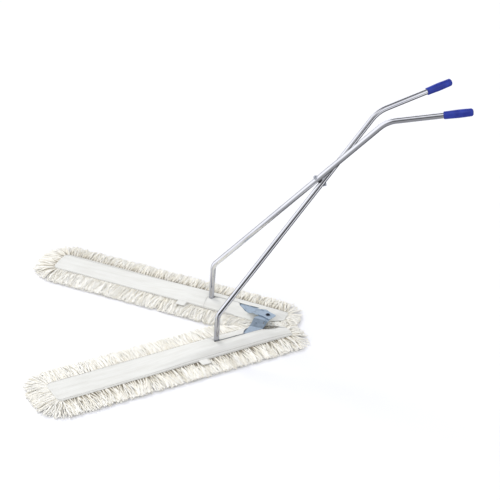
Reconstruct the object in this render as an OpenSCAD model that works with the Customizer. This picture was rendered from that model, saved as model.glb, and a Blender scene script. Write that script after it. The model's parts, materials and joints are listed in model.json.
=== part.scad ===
// Scissor dust mop: two fringed wings hinged in a V, steered by two crossed tube handles.
// The wings lie on the floor, the apex rivet stands above the point of the V, and the
// handles rise over the apex toward +X. Left is the -Y side.

/* [Stance] */
// Angle between the two wings as they stand
spread = 52; // [44:1:60]
// How far the wings close from that angle
close_travel = 12; // [4:1:14]
// How far the wings open from that angle
open_travel = 16; // [4:1:18]

/* [Cover] */
// Length of the woven backing
backing_length = 1048; // [900:1:1200]
// Width of the woven backing
backing_width = 128; // [118:1:140]
// Thickness of the woven backing
cloth_t = 1.8; // [1:0.1:3]
// Corner radius of the backing at the outer end
tip_radius = 34; // [20:1:50]
// Length of the yarn fringe along the sides and the outer end
fringe_length = 88; // [60:1:100]
// Length of the yarn fringe at the apex end
apex_fringe = 44; // [30:1:60]
// Height of the fringe at its cut ends
fringe_end_h = 7; // [4:0.5:12]
// Thickness of the yarn pad under the frame
pad_h = 7.2; // [5:0.1:9]

/* [Wing frame] */
// Diameter of the steel rod loop inside the cover
rod_d = 7; // [5:0.5:8]
// Distance from the backing's edge to the rod's axis
rod_inset = 14; // [11:0.5:18]
// Bend radius of the loop's corners
rod_bend_r = 26; // [16:1:34]
// Distance from the apex rivet to the loop's apex end, along the wing
frame_start = 24; // [20:1:40]
// Distance from the apex rivet to the wing's centre line
wing_offset = 55; // [50:1:70]
// Length of the pressed spine that carries the stem and the hinge bracket
spine_length = 232; // [210:1:260]
// Where the spine starts along the wing
spine_start = 78; // [70:1:90]
// Half width of the spine's flat top
spine_half = 30; // [28:0.5:33]
// Height of the spine's top above the floor
spine_top = 38; // [34:0.5:44]
// Sheet thickness of the spine
spine_t = 2.4; // [1.5:0.1:3]

/* [Apex hinge] */
// Sheet thickness of the hinge brackets
bracket_t = 3; // [2:0.1:4]
// Height of the left bracket's tongue above the floor
tongue_z = 54; // [50:0.5:60]
// Radius of the tongue's end round the rivet
tongue_r = 21; // [18:0.5:26]
// Shank diameter of the apex rivet
apex_rivet_d = 13; // [9:0.5:14]
// Wall of the hollow apex rivet
apex_rivet_wall = 1.5; // [1.2:0.1:3]
// Head diameter of the apex rivet
apex_head_d = 18.5; // [16:0.5:24]
// Head height of the apex rivet
apex_head_h = 2.8; // [2:0.2:6]
// Thickness of the washer between the tongues
apex_washer_t = 1.2; // [0.6:0.1:2]

/* [Handles] */
// Outer diameter of the handle tubes
tube_d = 22; // [20:0.5:24]
// Wall of the handle tubes
tube_wall = 1.5; // [1:0.1:2.5]
// Where the stems stand along the wings
stem_s = 270; // [250:1:285]
// Distance of the stems from the centre line, toward the inside of the V
stem_inset = 10; // [6:0.5:12]
// Height of the left handle's lower bend corner
low_bend_z = 160; // [130:1:190]
// Radius of the lower bend
low_bend_r = 48; // [35:1:70]
// Slope of the long straight stretch
long_slope = 50.75; // [45:0.25:56]
// Turn of the long straight stretch away from the line ahead, seen from above
long_yaw = 22.5; // [20:0.25:26]
// Length of the long straight stretch between the bend corners
long_length = 1023; // [900:1:1150]
// Radius of the upper bend
top_bend_r = 120; // [70:1:160]
// Slope of the grip stretch
grip_slope = 16.5; // [8:0.5:28]
// Turn of the grip stretch away from the line ahead, seen from above
grip_yaw = 17.5; // [12:0.5:24]
// Length of the grip stretch from the bend corner to the tube's end
grip_stretch = 322; // [280:1:380]

/* [Grips] */
// Length of the grips
grip_length = 110; // [90:1:140]
// Grip diameter at the collar
grip_collar_d = 33; // [30:0.5:38]
// Grip diameter behind the collar
grip_d = 31; // [28:0.5:35]
// Grip diameter at the tip
grip_tip_d = 29; // [26:0.5:33]
// Thickness of the grip's closed tip
grip_tip_wall = 5; // [3:0.5:8]

/* [Scissor pivot] */
// Shank diameter of the pivot bolt
pivot_d = 6; // [5:0.5:7]
// Hole in the lower tube, with play for the swing of the handles
play_hole_d = 13; // [12:0.5:14]
// Thickness of the spacer between the tubes
spacer_t = 1.6; // [1:0.1:3]
// Diameter of the spacer and its washers
spacer_d = 19; // [17:0.5:21]
// Running gap between the spacer and the lower tube
pivot_gap = 1; // [0.8:0.1:1.6]

/* [Hidden] */
$fn = 48;
LEFT = -1;
RIGHT = 1;

// Shared clearances and the overrun of through cuts
overrun = 1;
seat_gap = 0.05;
fit_gap = 0.1;
run_gap = 0.2;
clear_gap = 0.4;
sew_gap = 0.3;

// Finishes
zinc = "#8fa9c4";
steel = "#b9bec6";
chrome = "#c9ccd2";
dark_plastic = "#2b2c30";
grip_blue = "#303c96";
cotton_white = "#f4f1ea";
cotton_cream = "#eae2d2";

// Wing layout: s runs along the wing from the apex rivet, o runs outward from it
half_spread = spread / 2;
closed_half = half_spread - close_travel / 2;
open_half = half_spread + open_travel / 2;
wing_turn = 180 + half_spread;
half_backing = backing_width / 2;
apex_overhang = 56;
apex_radius = 14;
tip_s = backing_length - apex_overhang;
apex_s = -apex_overhang;
outer_o = wing_offset + half_backing;
inner_o = wing_offset - half_backing;
// Clear strip kept beside the plane of symmetry, and the width of the fringe on the mitre
plane_gap = 1.5;
mitre_fringe = 13;

// Rod loop
rod_r = rod_d / 2;
rod_half = half_backing - rod_inset;
clip_r = rod_r + fit_gap + spine_t;
rod_z = pad_h + sew_gap + clip_r;
edge_z = rod_z + rod_r + clear_gap;
rod_end = tip_s - rod_inset;
rod_bar_shares = [0.42, 0.7];

// Spine
spine_end = spine_start + spine_length;

// Stem and its socket
stem_o = wing_offset - stem_inset;
tube_r = tube_d / 2;
bush_bore = tube_d + 2 * run_gap;
bush_wall = 1.5;
bush_d = bush_bore + 2 * bush_wall;
bush_collar_d = bush_d + 2 * bush_wall;
bush_collar_h = 1.6;
socket_bore = bush_d + 2 * fit_gap;
socket_wall = 2.4;
socket_d = socket_bore + 2 * socket_wall;
flange_t = 2;
flange_rim = 8;
flange_d = socket_d + 2 * flange_rim;
clip_t = 1.5;
clip_rim = 2.4;
stem_bottom = pad_h + clear_gap;
stem_clip_z = stem_bottom + clear_gap;
socket_bottom = stem_clip_z + clip_t + clear_gap;
rivet_d = 4;
rivet_head_d = 7;
rivet_head_h = 1.6;
socket_rivet_r = (socket_d + rivet_head_d) / 2 + clear_gap;
socket_rivet_angles = [45, 135, 225, 315];

// Hinge bracket: a tongue round the rivet, cranked down to a foot on the spine
tongue_back_s = 52;
square_turn = 20;
square_reach = tongue_r + 6;
square_half = tongue_r + 1;
square_corner = 3;
foot_lead = 2;
foot_length = 60;
foot_reach = 13;
foot_near_s = spine_start + foot_lead;
foot_far_s = foot_near_s + foot_length;
foot_o = wing_offset + foot_reach;
crank_turn = 40;
crank_start = 36;
crank_end = 76;
crank_reach = 190;
foot_z = spine_top + seat_gap;
rib_w = 11;
rib_h = 2;
rib_lead = 1.5;
rib_start = norm([square_reach, square_half]) + rib_w / 2 + rib_lead;
rib_end = 82;
slot_w = 5;
slot_length = 14;
slot_a = 46;
foot_rivet_lead = 22;
foot_rivet_pitch = 22;
foot_rivet_reach = 4;
foot_rivet_s = [foot_near_s + foot_rivet_lead, foot_near_s + foot_rivet_lead + foot_rivet_pitch];
foot_rivet_o = wing_offset + foot_rivet_reach;
apex_bore = apex_rivet_d + 2 * fit_gap;
hinge_bore = apex_rivet_d + 4 * run_gap;
lift = apex_washer_t + bracket_t + clear_gap;
washer_z = tongue_z + bracket_t;
right_tongue_z = tongue_z + lift;

// Cover cloth: heights of its underside, and the slit that lets the stem and bracket out
crown_z = foot_z + bracket_t + max(rib_h, rivet_head_h + seat_gap) + clear_gap;
crown_set_in = 4;
crown_half = spine_half - crown_set_in;
crown_fade = 340;
apex_crown_z = 33;
tip_crown_rise = 2;
tip_crown_z = edge_z + tip_crown_rise;
slit_end_gap = 5;
slit_side_gap = 2.5;
slit_end = stem_s + tube_r + slit_end_gap;
slit_side = tube_r + slit_side_gap;
slit_waist_reach = 70;
slit_waist_s = stem_s - slit_waist_reach;
slit_waist_half = 5;
slit_foot_gap = 12;
slit_bracket_s = foot_far_s + slit_foot_gap;
slit_reach_in = 38;
slit_reach_out = 5;
slit_bracket_in = wing_offset - slit_reach_in;
slit_bracket_out = wing_offset + slit_reach_out;
flap_end = 2;
cloth_rows_tip = 5;
cloth_rows_long = 9;
cloth_cols = 10;
slit_col = 4;
mid_share = 0.5;
crown_in_shares = [0.3, 0.8];
crown_out_shares = [0.2, 0.7];
pad_inset = 7;

// Fringe stations
side_stations = 46;
tip_stations = 6;
corner_stations = 5;
mitre_stations = 5;
apex_stations = 4;
fringe_lift = 0.5;
tuft_share = 0.05;
fringe_root_h = edge_z - sew_gap;
apex_splay_share = 0.25;
apex_corner_shares = [0.8, 0.7];

// Handle directions and corners, seen from the apex rivet
long_dir = [cos(long_yaw) * cos(long_slope), sin(long_yaw) * cos(long_slope), sin(long_slope)];
grip_dir = [cos(grip_yaw) * cos(grip_slope), sin(grip_yaw) * cos(grip_slope), sin(grip_slope)];
// Lap of the straight stretches into the bends, which swell a little where the tube is drawn
bend_lap = 0.4;
bend_swell = 0.1;
// Swing of the two bends, and the roll of the upper one about the long stretch
low_swing = 90 - long_slope;
top_swing = acos(long_dir * grip_dir);
roll_x = [sin(long_slope) * cos(long_yaw), sin(long_slope) * sin(long_yaw), -cos(long_slope)];
roll_y = [-sin(long_yaw), cos(long_yaw), 0];
top_roll = atan2(grip_dir * roll_y, grip_dir * roll_x);
stem_foot = turned([stem_s, stem_o], wing_turn);
mirror_y = [1, -1, 1];
pivot_normal = unit(cross(long_dir, mul(long_dir, mirror_y)) * -1);
pivot_stack = tube_d + spacer_t + seat_gap + pivot_gap;
stagger = pivot_stack / pivot_normal[2];
left_path = handle_path(low_bend_z);
right_path = [for (p = handle_path(low_bend_z + stagger)) mul(p, mirror_y)];
right_dir = mul(long_dir, mirror_y);
left_reach = line_reach(left_path[1], long_dir, right_path[1], right_dir);
right_reach = line_reach(right_path[1], right_dir, left_path[1], long_dir);
left_pivot = left_path[1] + left_reach * long_dir;
right_pivot = right_path[1] + right_reach * right_dir;
pivot_hole_d = pivot_d + 2 * run_gap;
hex_across = 11.5;
hex_h = 5;
washer_t = 1.4;
saddle_h = 4.5;
thread_end = 3;

// Grip rounding and the apex rivet's dished head
grip_collar = 7;
grip_round = 7;
collar_round = grip_collar / 4;
head_rim_share = 0.4;
head_shoulder_share = 0.36;
head_dish_shares = [0.2, 0.6];

// Reach of the bolt below the upper tube's axis
bolt_low = pivot_stack + tube_r + pivot_gap + washer_t + hex_h + thread_end;

// The origin stands under the middle of the whole outline
tip_round = tip_radius + fringe_length;
tip_centre = [tip_s - tip_radius, inner_o + tip_radius];
wing_reach = tip_centre[0] * cos(half_spread) - tip_centre[1] * sin(half_spread) + tip_round;
grip_reach = left_path[3][0] + grip_tip_wall * grip_dir[0] + grip_tip_d / 2 * sin(grip_slope);
apex_x = (wing_reach - grip_reach) / 2;

// Vector helpers
function unit(v) = v / norm(v);
function mul(a, b) = [for (i = [0:len(a) - 1]) a[i] * b[i]];
function mix(a, b, t) = a + (b - a) * t;
function clamp01(t) = min(1, max(0, t));
function ease(t) = let (c = clamp01(t)) c * c * (3 - 2 * c);
function turned(p, a) = [p[0] * cos(a) - p[1] * sin(a), p[0] * sin(a) + p[1] * cos(a)];

// Points of one handle's axis: stem bottom, lower corner, upper corner, tube end
function handle_path(corner_z) =
    let (foot = [stem_foot[0], stem_foot[1], stem_bottom])
    let (low = [stem_foot[0], stem_foot[1], corner_z])
    let (high = low + long_length * long_dir)
    [foot, low, high, high + grip_stretch * grip_dir];

// Distance along one line to the point nearest to another line
function line_reach(p, d, q, e) =
    let (w = p - q)
    let (b = d * e)
    (b * (e * w) - d * w) / (1 - b * b);

// Least outward place that keeps a wing off the plane of symmetry over the whole swing
function trim_o(s) = plane_gap - s * tan(s > 0 ? closed_half : open_half);

// Backing edges at one place along the wing
function tip_round_in(s, r) =
    let (past = max(0, s - (tip_s - r)))
    r - sqrt(max(0, r * r - past * past));
function edge_in(s) = max(inner_o + tip_round_in(s, tip_radius), trim_o(s) + mitre_fringe);
function edge_out(s) = outer_o - tip_round_in(s, tip_radius);

// Height of the cloth's underside
function crown_at(s) =
    s > spine_end ? mix(crown_z, tip_crown_z, ease((s - spine_end) / crown_fade))
    : mix(apex_crown_z, crown_z, ease((s - apex_s) / (spine_start - apex_s)));
function cloth_z(s, o) =
    let (side = abs(o - wing_offset))
    mix(edge_z, crown_at(s), clamp01((half_backing - side) / (half_backing - crown_half)));

// Slit edges, narrow between the stem and the bracket
function slit_edge(s, at_bracket, at_waist, at_stem) =
    let (to_waist = (s - slit_bracket_s) / (slit_waist_s - slit_bracket_s))
    let (to_stem = (s - slit_waist_s) / (stem_s - tube_r - slit_waist_s))
    s < slit_waist_s ? mix(at_bracket, at_waist, clamp01(to_waist))
    : mix(at_waist, at_stem, clamp01(to_stem));
function slit_in(s) = slit_edge(s, slit_bracket_in, stem_o - slit_waist_half, stem_o - slit_side);
function slit_out(s) = slit_edge(s, slit_bracket_out, stem_o + slit_waist_half, stem_o + slit_side);

// Places a wing piece that is drawn on the wing's own axes
module on_wing(side) {
    translate([apex_x, 0, 0])
        mirrored(side)
            rotate([0, 0, wing_turn])
                children();
}

module mirrored(side) {
    if (side == LEFT) {
        children();
    } else {
        mirror([0, 1, 0]) children();
    }
}

// Turns the Z axis along a direction
module aimed(dir) {
    rotate([0, acos(dir[2] / norm(dir)), atan2(dir[1], dir[0])]) children();
}

// Ring section of a tube
module tube_section(d, wall) {
    difference() {
        circle(d = d);
        circle(d = d - 2 * wall);
    }
}

// Bend of a bar that comes up the Z axis and turns toward +X, and what follows it
module bar_bend(r, swing, d) {
    translate([r, 0, 0]) rotate([90, 0, 180])
        rotate_extrude(angle = swing) translate([r, 0]) circle(d = d + bend_swell);
    translate([r, 0, 0]) rotate([0, swing, 0]) translate([-r, 0, 0]) children();
}

// Straight stretch of bar up the Z axis that laps into its neighbours, and what follows it
module bar_straight(reach, d, lap_start, lap_end) {
    translate([0, 0, -lap_start]) cylinder(d = d, h = reach + lap_start + lap_end);
    translate([0, 0, reach]) children();
}

// Left handle as a bent bar from the bottom of its stem, longer by a margin at both ends
module handle_bar(corner_z, d, margin) {
    low_cut = low_bend_r * tan(low_swing / 2);
    top_cut = top_bend_r * tan(top_swing / 2);
    translate([stem_foot[0], stem_foot[1], stem_bottom]) rotate([0, 0, long_yaw])
        bar_straight(corner_z - low_cut - stem_bottom, d, margin, bend_lap)
            bar_bend(low_bend_r, low_swing, d)
                bar_straight(long_length - low_cut - top_cut, d, bend_lap, bend_lap)
                    rotate([0, 0, top_roll])
                        bar_bend(top_bend_r, top_swing, d)
                            bar_straight(grip_stretch - top_cut, d, bend_lap, margin);
}

// Hole across a handle tube, square to both tubes at the scissor pivot
module pivot_hole(p, d) {
    depth = tube_d + 2 * overrun;
    translate(p) aimed(pivot_normal) cylinder(d = d, h = depth, center = true);
}

// Rod loop with two cross bars, bent from round steel and welded
module wing_frame(side) {
    low = wing_offset - rod_half;
    high = wing_offset + rod_half;
    r = rod_bend_r;
    corners = [[frame_start + r, low + r, 180], [rod_end - r, low + r, 270],
        [rod_end - r, high - r, 0], [frame_start + r, high - r, 90]];
    color(steel) on_wing(side) translate([0, 0, rod_z]) {
        for (c = corners) {
            translate([c[0], c[1], 0]) rotate([0, 0, c[2]])
                rotate_extrude(angle = 90) translate([r, 0]) circle(d = rod_d);
        }
        for (o = [low, high]) {
            translate([frame_start + r, o, 0]) rotate([0, 90, 0])
                cylinder(d = rod_d, h = rod_end - frame_start - 2 * r);
        }
        for (s = [frame_start, rod_end]) {
            translate([s, low + r, 0]) rotate([-90, 0, 0])
                cylinder(d = rod_d, h = 2 * (rod_half - r));
        }
        for (share = rod_bar_shares) {
            translate([mix(frame_start, rod_end, share), low, 0]) rotate([-90, 0, 0])
                cylinder(d = rod_d, h = 2 * rod_half);
        }
    }
}

// One leg of the spine, from the edge of its top to the clip rolled round a rod
module spine_leg() {
    edge = [spine_half, spine_top];
    rod = [rod_half, rod_z];
    leg = turned(unit(rod - edge), asin(clip_r / norm(rod - edge)));
    out = [-leg[1], leg[0]];
    toe = rod + out * clip_r + leg * spine_t;
    linear_extrude(spine_length)
        polygon([[spine_half - spine_t, spine_top], edge, toe, toe - out * spine_t, edge - out * spine_t,
            [spine_half - spine_t, spine_top - spine_t]]);
    translate([rod_half, rod_z, 0]) linear_extrude(spine_length) tube_section(2 * clip_r, spine_t);
}

// Pressed steel spine: a hat section rolled round both rods, with the stem hole in its top
module spine(side) {
    color(zinc) on_wing(side) difference() {
        translate([spine_start, wing_offset, 0]) rotate([90, 0, 90]) {
            translate([-spine_half, spine_top - spine_t, 0]) cube([2 * spine_half, spine_t, spine_length]);
            spine_leg();
            mirror([1, 0, 0]) spine_leg();
        }
        translate([stem_s, stem_o, spine_top - spine_t - overrun])
            cylinder(d = socket_bore, h = spine_t + 2 * overrun);
        socket_rivet_places() translate([0, 0, spine_top - spine_t - overrun])
            cylinder(d = rivet_d + 2 * fit_gap, h = spine_t + 2 * overrun);
        foot_rivet_places() translate([0, 0, spine_top - spine_t - overrun])
            cylinder(d = rivet_d + 2 * fit_gap, h = spine_t + 2 * overrun);
    }
}

module socket_rivet_places() {
    for (a = socket_rivet_angles) {
        translate([stem_s, stem_o, 0]) rotate([0, 0, a]) translate([socket_rivet_r, 0, 0]) children();
    }
}

module foot_rivet_places() {
    for (s = foot_rivet_s) {
        translate([s, foot_rivet_o, 0]) children();
    }
}

// Rivet with a domed head at both ends of its grip
module rivet(low, high) {
    reach = high - low;
    translate([0, 0, low]) {
        cylinder(d = rivet_d, h = reach);
        translate([0, 0, reach]) rivet_head();
        mirror([0, 0, 1]) rivet_head();
    }
}

module rivet_head() {
    ball = (rivet_head_d * rivet_head_d / 4 + rivet_head_h * rivet_head_h) / (2 * rivet_head_h);
    intersection() {
        translate([0, 0, rivet_head_h - ball]) sphere(r = ball);
        cylinder(d = rivet_head_d, h = rivet_head_h);
    }
}

// Round flange, cut straight where it meets the spine's legs
module socket_flange(low) {
    reach = spine_half - spine_t - clear_gap;
    intersection() {
        translate([stem_s, stem_o, low]) cylinder(d = flange_d, h = flange_t);
        translate([stem_s - flange_d / 2, wing_offset - reach, low]) cube([flange_d, 2 * reach, flange_t]);
    }
}

// Flanged sleeve under the spine's top that guides the stem
module stem_socket(side) {
    top = spine_top - spine_t - seat_gap;
    color(steel) on_wing(side) difference() {
        union() {
            translate([stem_s, stem_o, socket_bottom]) cylinder(d = socket_d, h = top - socket_bottom);
            socket_flange(top - flange_t);
        }
        translate([stem_s, stem_o, socket_bottom - overrun])
            cylinder(d = socket_bore, h = top - socket_bottom + 2 * overrun);
        socket_rivet_places() translate([0, 0, top - flange_t - overrun])
            cylinder(d = rivet_d + 2 * fit_gap, h = flange_t + 2 * overrun);
    }
}

module socket_rivets(side) {
    low = spine_top - spine_t - seat_gap - flange_t - seat_gap;
    color(steel) on_wing(side) socket_rivet_places() rivet(low, spine_top + seat_gap);
}

// Plastic bush between the socket and the turning stem
module stem_bush(side) {
    color(dark_plastic) on_wing(side) translate([stem_s, stem_o, 0]) difference() {
        union() {
            translate([0, 0, socket_bottom]) cylinder(d = bush_d, h = spine_top + seat_gap - socket_bottom);
            translate([0, 0, spine_top + seat_gap]) cylinder(d = bush_collar_d, h = bush_collar_h);
        }
        translate([0, 0, socket_bottom - overrun])
            cylinder(d = bush_bore, h = spine_top + bush_collar_h - socket_bottom + 3 * overrun);
    }
}

// Plan of the bracket: tongue round the rivet, square on the upper one, widening to its foot on the spine
module bracket_plan(side) {
    circle(r = tongue_r);
    if (side == RIGHT) rotate(square_turn) polygon([
        [0, -square_half], [0, square_half],
        [square_corner - square_reach, square_half], [-square_reach, square_half - square_corner],
        [-square_reach, square_corner - square_half], [square_corner - square_reach, -square_half]
    ]);
    polygon([
        [-tongue_r * sin(crank_turn), tongue_r * cos(crank_turn)],
        [foot_near_s, foot_o],
        [foot_far_s, foot_o],
        [foot_far_s, wing_offset - tongue_r / 2],
        [tongue_back_s, -tongue_r * cos(crank_turn)],
        [tongue_r * sin(crank_turn), -tongue_r * cos(crank_turn)],
        [-tongue_r * sin(crank_turn), -tongue_r * cos(crank_turn)]
    ]);
}

// Side view of the cranked sheet, along the direction in which it is bent
module crank_section(top_z, thick) {
    polygon([
        [-crank_reach, top_z], [crank_start, top_z], [crank_end, foot_z], [crank_reach, foot_z],
        [crank_reach, foot_z + thick], [crank_end + thick / 2, foot_z + thick],
        [crank_start + thick / 2, top_z + thick], [-crank_reach, top_z + thick]
    ]);
}

// Cranked sheet between two edges across the bend
module cranked_sheet(top_z, thick, low, high) {
    rotate([0, 0, crank_turn]) translate([0, high, 0]) rotate([90, 0, 0])
        linear_extrude(high - low) crank_section(top_z, thick);
}

// Pressed bracket with a raised rib, a slot in it and the rivet's hole
module hinge_bracket(side) {
    top_z = side == LEFT ? tongue_z : right_tongue_z;
    bore = side == LEFT ? apex_bore : hinge_bore;
    tall = right_tongue_z + bracket_t + rib_h + 2 * overrun;
    color(zinc) on_wing(side) difference() {
        union() {
            intersection() {
                linear_extrude(tall) bracket_plan(side);
                cranked_sheet(top_z, bracket_t, -crank_reach, crank_reach);
            }
            intersection() {
                linear_extrude(tall) rib_plan();
                cranked_sheet(top_z, bracket_t + rib_h, -rib_w, rib_w);
            }
        }
        cylinder(d = bore, h = tall);
        rotate([0, 0, crank_turn]) for (a = [slot_a, slot_a + slot_length - slot_w]) {
            translate([a, 0, 0]) cylinder(d = slot_w, h = tall);
        }
        rotate([0, 0, crank_turn]) translate([slot_a, -slot_w / 2, 0])
            cube([slot_length - slot_w, slot_w, tall]);
        foot_rivet_places() cylinder(d = rivet_d + 2 * fit_gap, h = tall);
    }
}

// Round-ended plan of the raised rib
module rib_plan() {
    rotate([0, 0, crank_turn]) {
        translate([rib_start, -rib_w / 2]) square([rib_end - rib_start, rib_w]);
        for (a = [rib_start, rib_end]) {
            translate([a, 0]) circle(d = rib_w);
        }
    }
}

module bracket_rivets(side) {
    color(steel) on_wing(side) foot_rivet_places()
        rivet(spine_top - spine_t - seat_gap, foot_z + bracket_t + seat_gap);
}

// Cover cloth as rows along the wing, with cells left out for the slit and the apex mitre
module cover_backing(side) {
    rows = cloth_rows();
    places = [for (s = rows) for (o = cloth_columns(s)) [s, o, cloth_z(s, o)]];
    over = [for (p = places) p + [0, 0, cloth_t]];
    n = len(places);
    cells = [for (i = [0:len(rows) - 2]) for (j = [0:cloth_cols - 2]) if (cloth_cell(rows, i, j)) [i, j]];
    faces = [for (c = cells) each cell_faces(rows, c[0], c[1], n)];
    color(cotton_white) on_wing(side) polyhedron(points = concat(over, places), faces = faces);
}

// Rows of the cloth: dense at the slit and the rounded end, even between
function cloth_rows() = concat(
    [apex_s, apex_s / 2, flap_end, frame_start + clip_r, spine_start],
    [slit_bracket_s, mix(slit_bracket_s, slit_waist_s, mid_share), slit_waist_s],
    [stem_s - tube_r, slit_end, spine_end],
    [for (i = [1:cloth_rows_long]) mix(spine_end, tip_s - tip_radius, i / cloth_rows_long)],
    [for (i = [1:cloth_rows_tip]) tip_s - tip_radius + tip_radius * sin(90 * i / cloth_rows_tip)]
);

// Places of the ten cloth points across one row
function cloth_columns(s) =
    let (low = edge_in(s))
    let (high = edge_out(s))
    let (a = max(slit_in(s), low + mitre_fringe))
    let (b = max(slit_out(s), a + 2 * slit_waist_half))
    let (crown_low = wing_offset - crown_half)
    let (crown_high = wing_offset + crown_half)
    let (in_near = mix(low, a, crown_in_shares[0]))
    let (in_far = mix(low, a, crown_in_shares[1]))
    let (out_near = mix(b, high, crown_out_shares[0]))
    let (out_far = mix(b, high, crown_out_shares[1]))
    let (foot_in = max(in_near, min(crown_low, in_far)))
    let (foot_out = min(out_far, max(crown_high, out_near)))
    [low, mix(low, foot_in, mid_share), foot_in, mix(foot_in, a, mid_share), a,
        b, mix(b, foot_out, mid_share), foot_out, mix(foot_out, high, mid_share), high];

// Whether a cell of the cloth is there
function cloth_cell(rows, i, j) =
    j > slit_col ? true : j == slit_col ? rows[i] >= slit_end : rows[i] >= flap_end;
function cloth_there(rows, i, j) =
    i >= 0 && i < len(rows) - 1 && j >= 0 && j < cloth_cols - 1 && cloth_cell(rows, i, j);

// Triangles of one cell: top, underside and a wall on each free edge
function cell_faces(rows, i, j, n) =
    let (a = i * cloth_cols + j)
    let (b = a + 1)
    let (c = a + cloth_cols + 1)
    let (d = a + cloth_cols)
    concat(
        [[a, b, c], [a, c, d], [n + c, n + b, n + a], [n + d, n + c, n + a]],
        cloth_there(rows, i, j - 1) ? [] : wall_faces(d, a, n),
        cloth_there(rows, i, j + 1) ? [] : wall_faces(b, c, n),
        cloth_there(rows, i - 1, j) ? [] : wall_faces(a, b, n),
        cloth_there(rows, i + 1, j) ? [] : wall_faces(c, d, n)
    );
function wall_faces(p, q, n) = [[p, n + p, n + q], [p, n + q, q]];

// Outline of the yarn pad, a little inside the backing's edge
function around(a) = [cos(a), sin(a)];
function arc(c, r, from, to) =
    [for (i = [0:corner_stations]) c + r * around(mix(from, to, i / corner_stations))];
function pad_outline(inset) =
    let (r = tip_radius - inset)
    let (mitre = mitre_fringe + inset)
    let (low = inner_o + inset)
    let (mitre_s = (plane_gap + mitre - low) / tan(closed_half))
    concat(
        [[apex_s + inset, outer_o - inset - apex_radius], [apex_s + inset + apex_radius, outer_o - inset]],
        arc([tip_s - tip_radius, outer_o - tip_radius], r, 90, 0),
        arc([tip_s - tip_radius, inner_o + tip_radius], r, 0, -90),
        [[mitre_s, low], [0, plane_gap + mitre], [apex_s + inset, trim_o(apex_s + inset) + mitre]]
    );

// Flat pad of looped yarn that the wing stands on
module mop_pad(side) {
    color(cotton_cream) on_wing(side) linear_extrude(pad_h) polygon(pad_outline(pad_inset));
}

// Fringe stations as [root, end] places, clockwise seen from above
function outward(root, dir, reach, k) =
    let (q = root + dir * reach * (1 - tuft_share * (k % 2)))
    [root + dir * sew_gap, [q[0], max(q[1], trim_o(q[0]))]];
function side_run(from, to, o, dir) =
    [for (i = [1:side_stations - 1]) outward([mix(from, to, i / side_stations), o], dir, fringe_length, i)];
function corner_run(c, from) =
    [for (i = [0:corner_stations * 2])
        let (a = from - 90 * i / (corner_stations * 2))
        outward(c + tip_radius * around(a), around(a), fringe_length, i)];
function end_run() =
    [for (i = [1:tip_stations - 1])
        let (o = mix(outer_o - tip_radius, inner_o + tip_radius, i / tip_stations))
        outward([tip_s, o], [1, 0], fringe_length, i)];
function apex_run(end_s, root_low) =
    [for (i = [0:apex_stations])
        let (t = i / (apex_stations + 1))
        let (end_o = mix(trim_o(end_s), outer_o + fringe_length * apex_splay_share, t))
        [[apex_s - sew_gap, mix(root_low, outer_o, t)], [end_s, end_o]]];
function mitre_run(from, to) =
    [for (i = [0:mitre_stations - 1]) mitre_place(mix(from, to, i / mitre_stations))];
function mitre_place(s) =
    let (root = trim_o(s) + mitre_fringe - sew_gap)
    [[s, root], [s, trim_o(s)]];
function fringe_stations() =
    let (mitre_s = (plane_gap + mitre_fringe - inner_o) / tan(closed_half))
    let (corner = apex_s - apex_fringe * apex_corner_shares[0])
    concat(
        side_run(apex_s + apex_radius, tip_s - tip_radius, outer_o, [0, 1]),
        corner_run([tip_s - tip_radius, outer_o - tip_radius], 90),
        end_run(),
        corner_run([tip_s - tip_radius, inner_o + tip_radius], 0),
        side_run(tip_s - tip_radius, mitre_s, inner_o, [0, -1]),
        mitre_run(mitre_s, 0),
        mitre_run(0, apex_s),
        apex_run(apex_s - apex_fringe, trim_o(apex_s) + mitre_fringe),
        [[[apex_s - sew_gap, outer_o - apex_radius / 2],
            [corner, outer_o + fringe_length * apex_corner_shares[1]]]]
    );

// Yarn fringe all round the backing, thick at its seam and thin at its cut ends
module fringe(side) {
    ring = fringe_stations();
    n = len(ring);
    points = [for (st = ring) each [
        [st[0][0], st[0][1], fringe_lift], [st[0][0], st[0][1], fringe_root_h],
        [st[1][0], st[1][1], fringe_end_h], [st[1][0], st[1][1], fringe_lift]
    ]];
    faces = [for (k = [0:n - 1]) for (i = [0:3])
        let (a = 4 * k + i)
        let (b = 4 * k + (i + 1) % 4)
        let (c = 4 * ((k + 1) % n) + (i + 1) % 4)
        let (d = 4 * ((k + 1) % n) + i)
        each [[a, b, c], [a, c, d]]];
    color(cotton_cream) on_wing(side) polyhedron(points = points, faces = faces);
}

// Bent chrome tube with its pivot hole
module handle_tube(side) {
    corner_z = side == LEFT ? low_bend_z : low_bend_z + stagger;
    color(chrome) translate([apex_x, 0, 0]) difference() {
        mirrored(side) handle_bar(corner_z, tube_d, 0);
        mirrored(side) handle_bar(corner_z, tube_d - 2 * tube_wall, overrun);
        if (side == LEFT) {
            pivot_hole(left_pivot, play_hole_d);
        } else {
            pivot_hole(right_pivot, pivot_hole_d);
        }
    }
}

// Spring clip that keeps the stem in its socket
module stem_clip(side) {
    color(steel) on_wing(side) translate([stem_s, stem_o, stem_clip_z]) difference() {
        cylinder(d = tube_d + 2 * fit_gap + 2 * clip_rim, h = clip_t);
        translate([0, 0, -overrun]) cylinder(d = tube_d + 2 * fit_gap, h = clip_t + 2 * overrun);
    }
}

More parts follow.
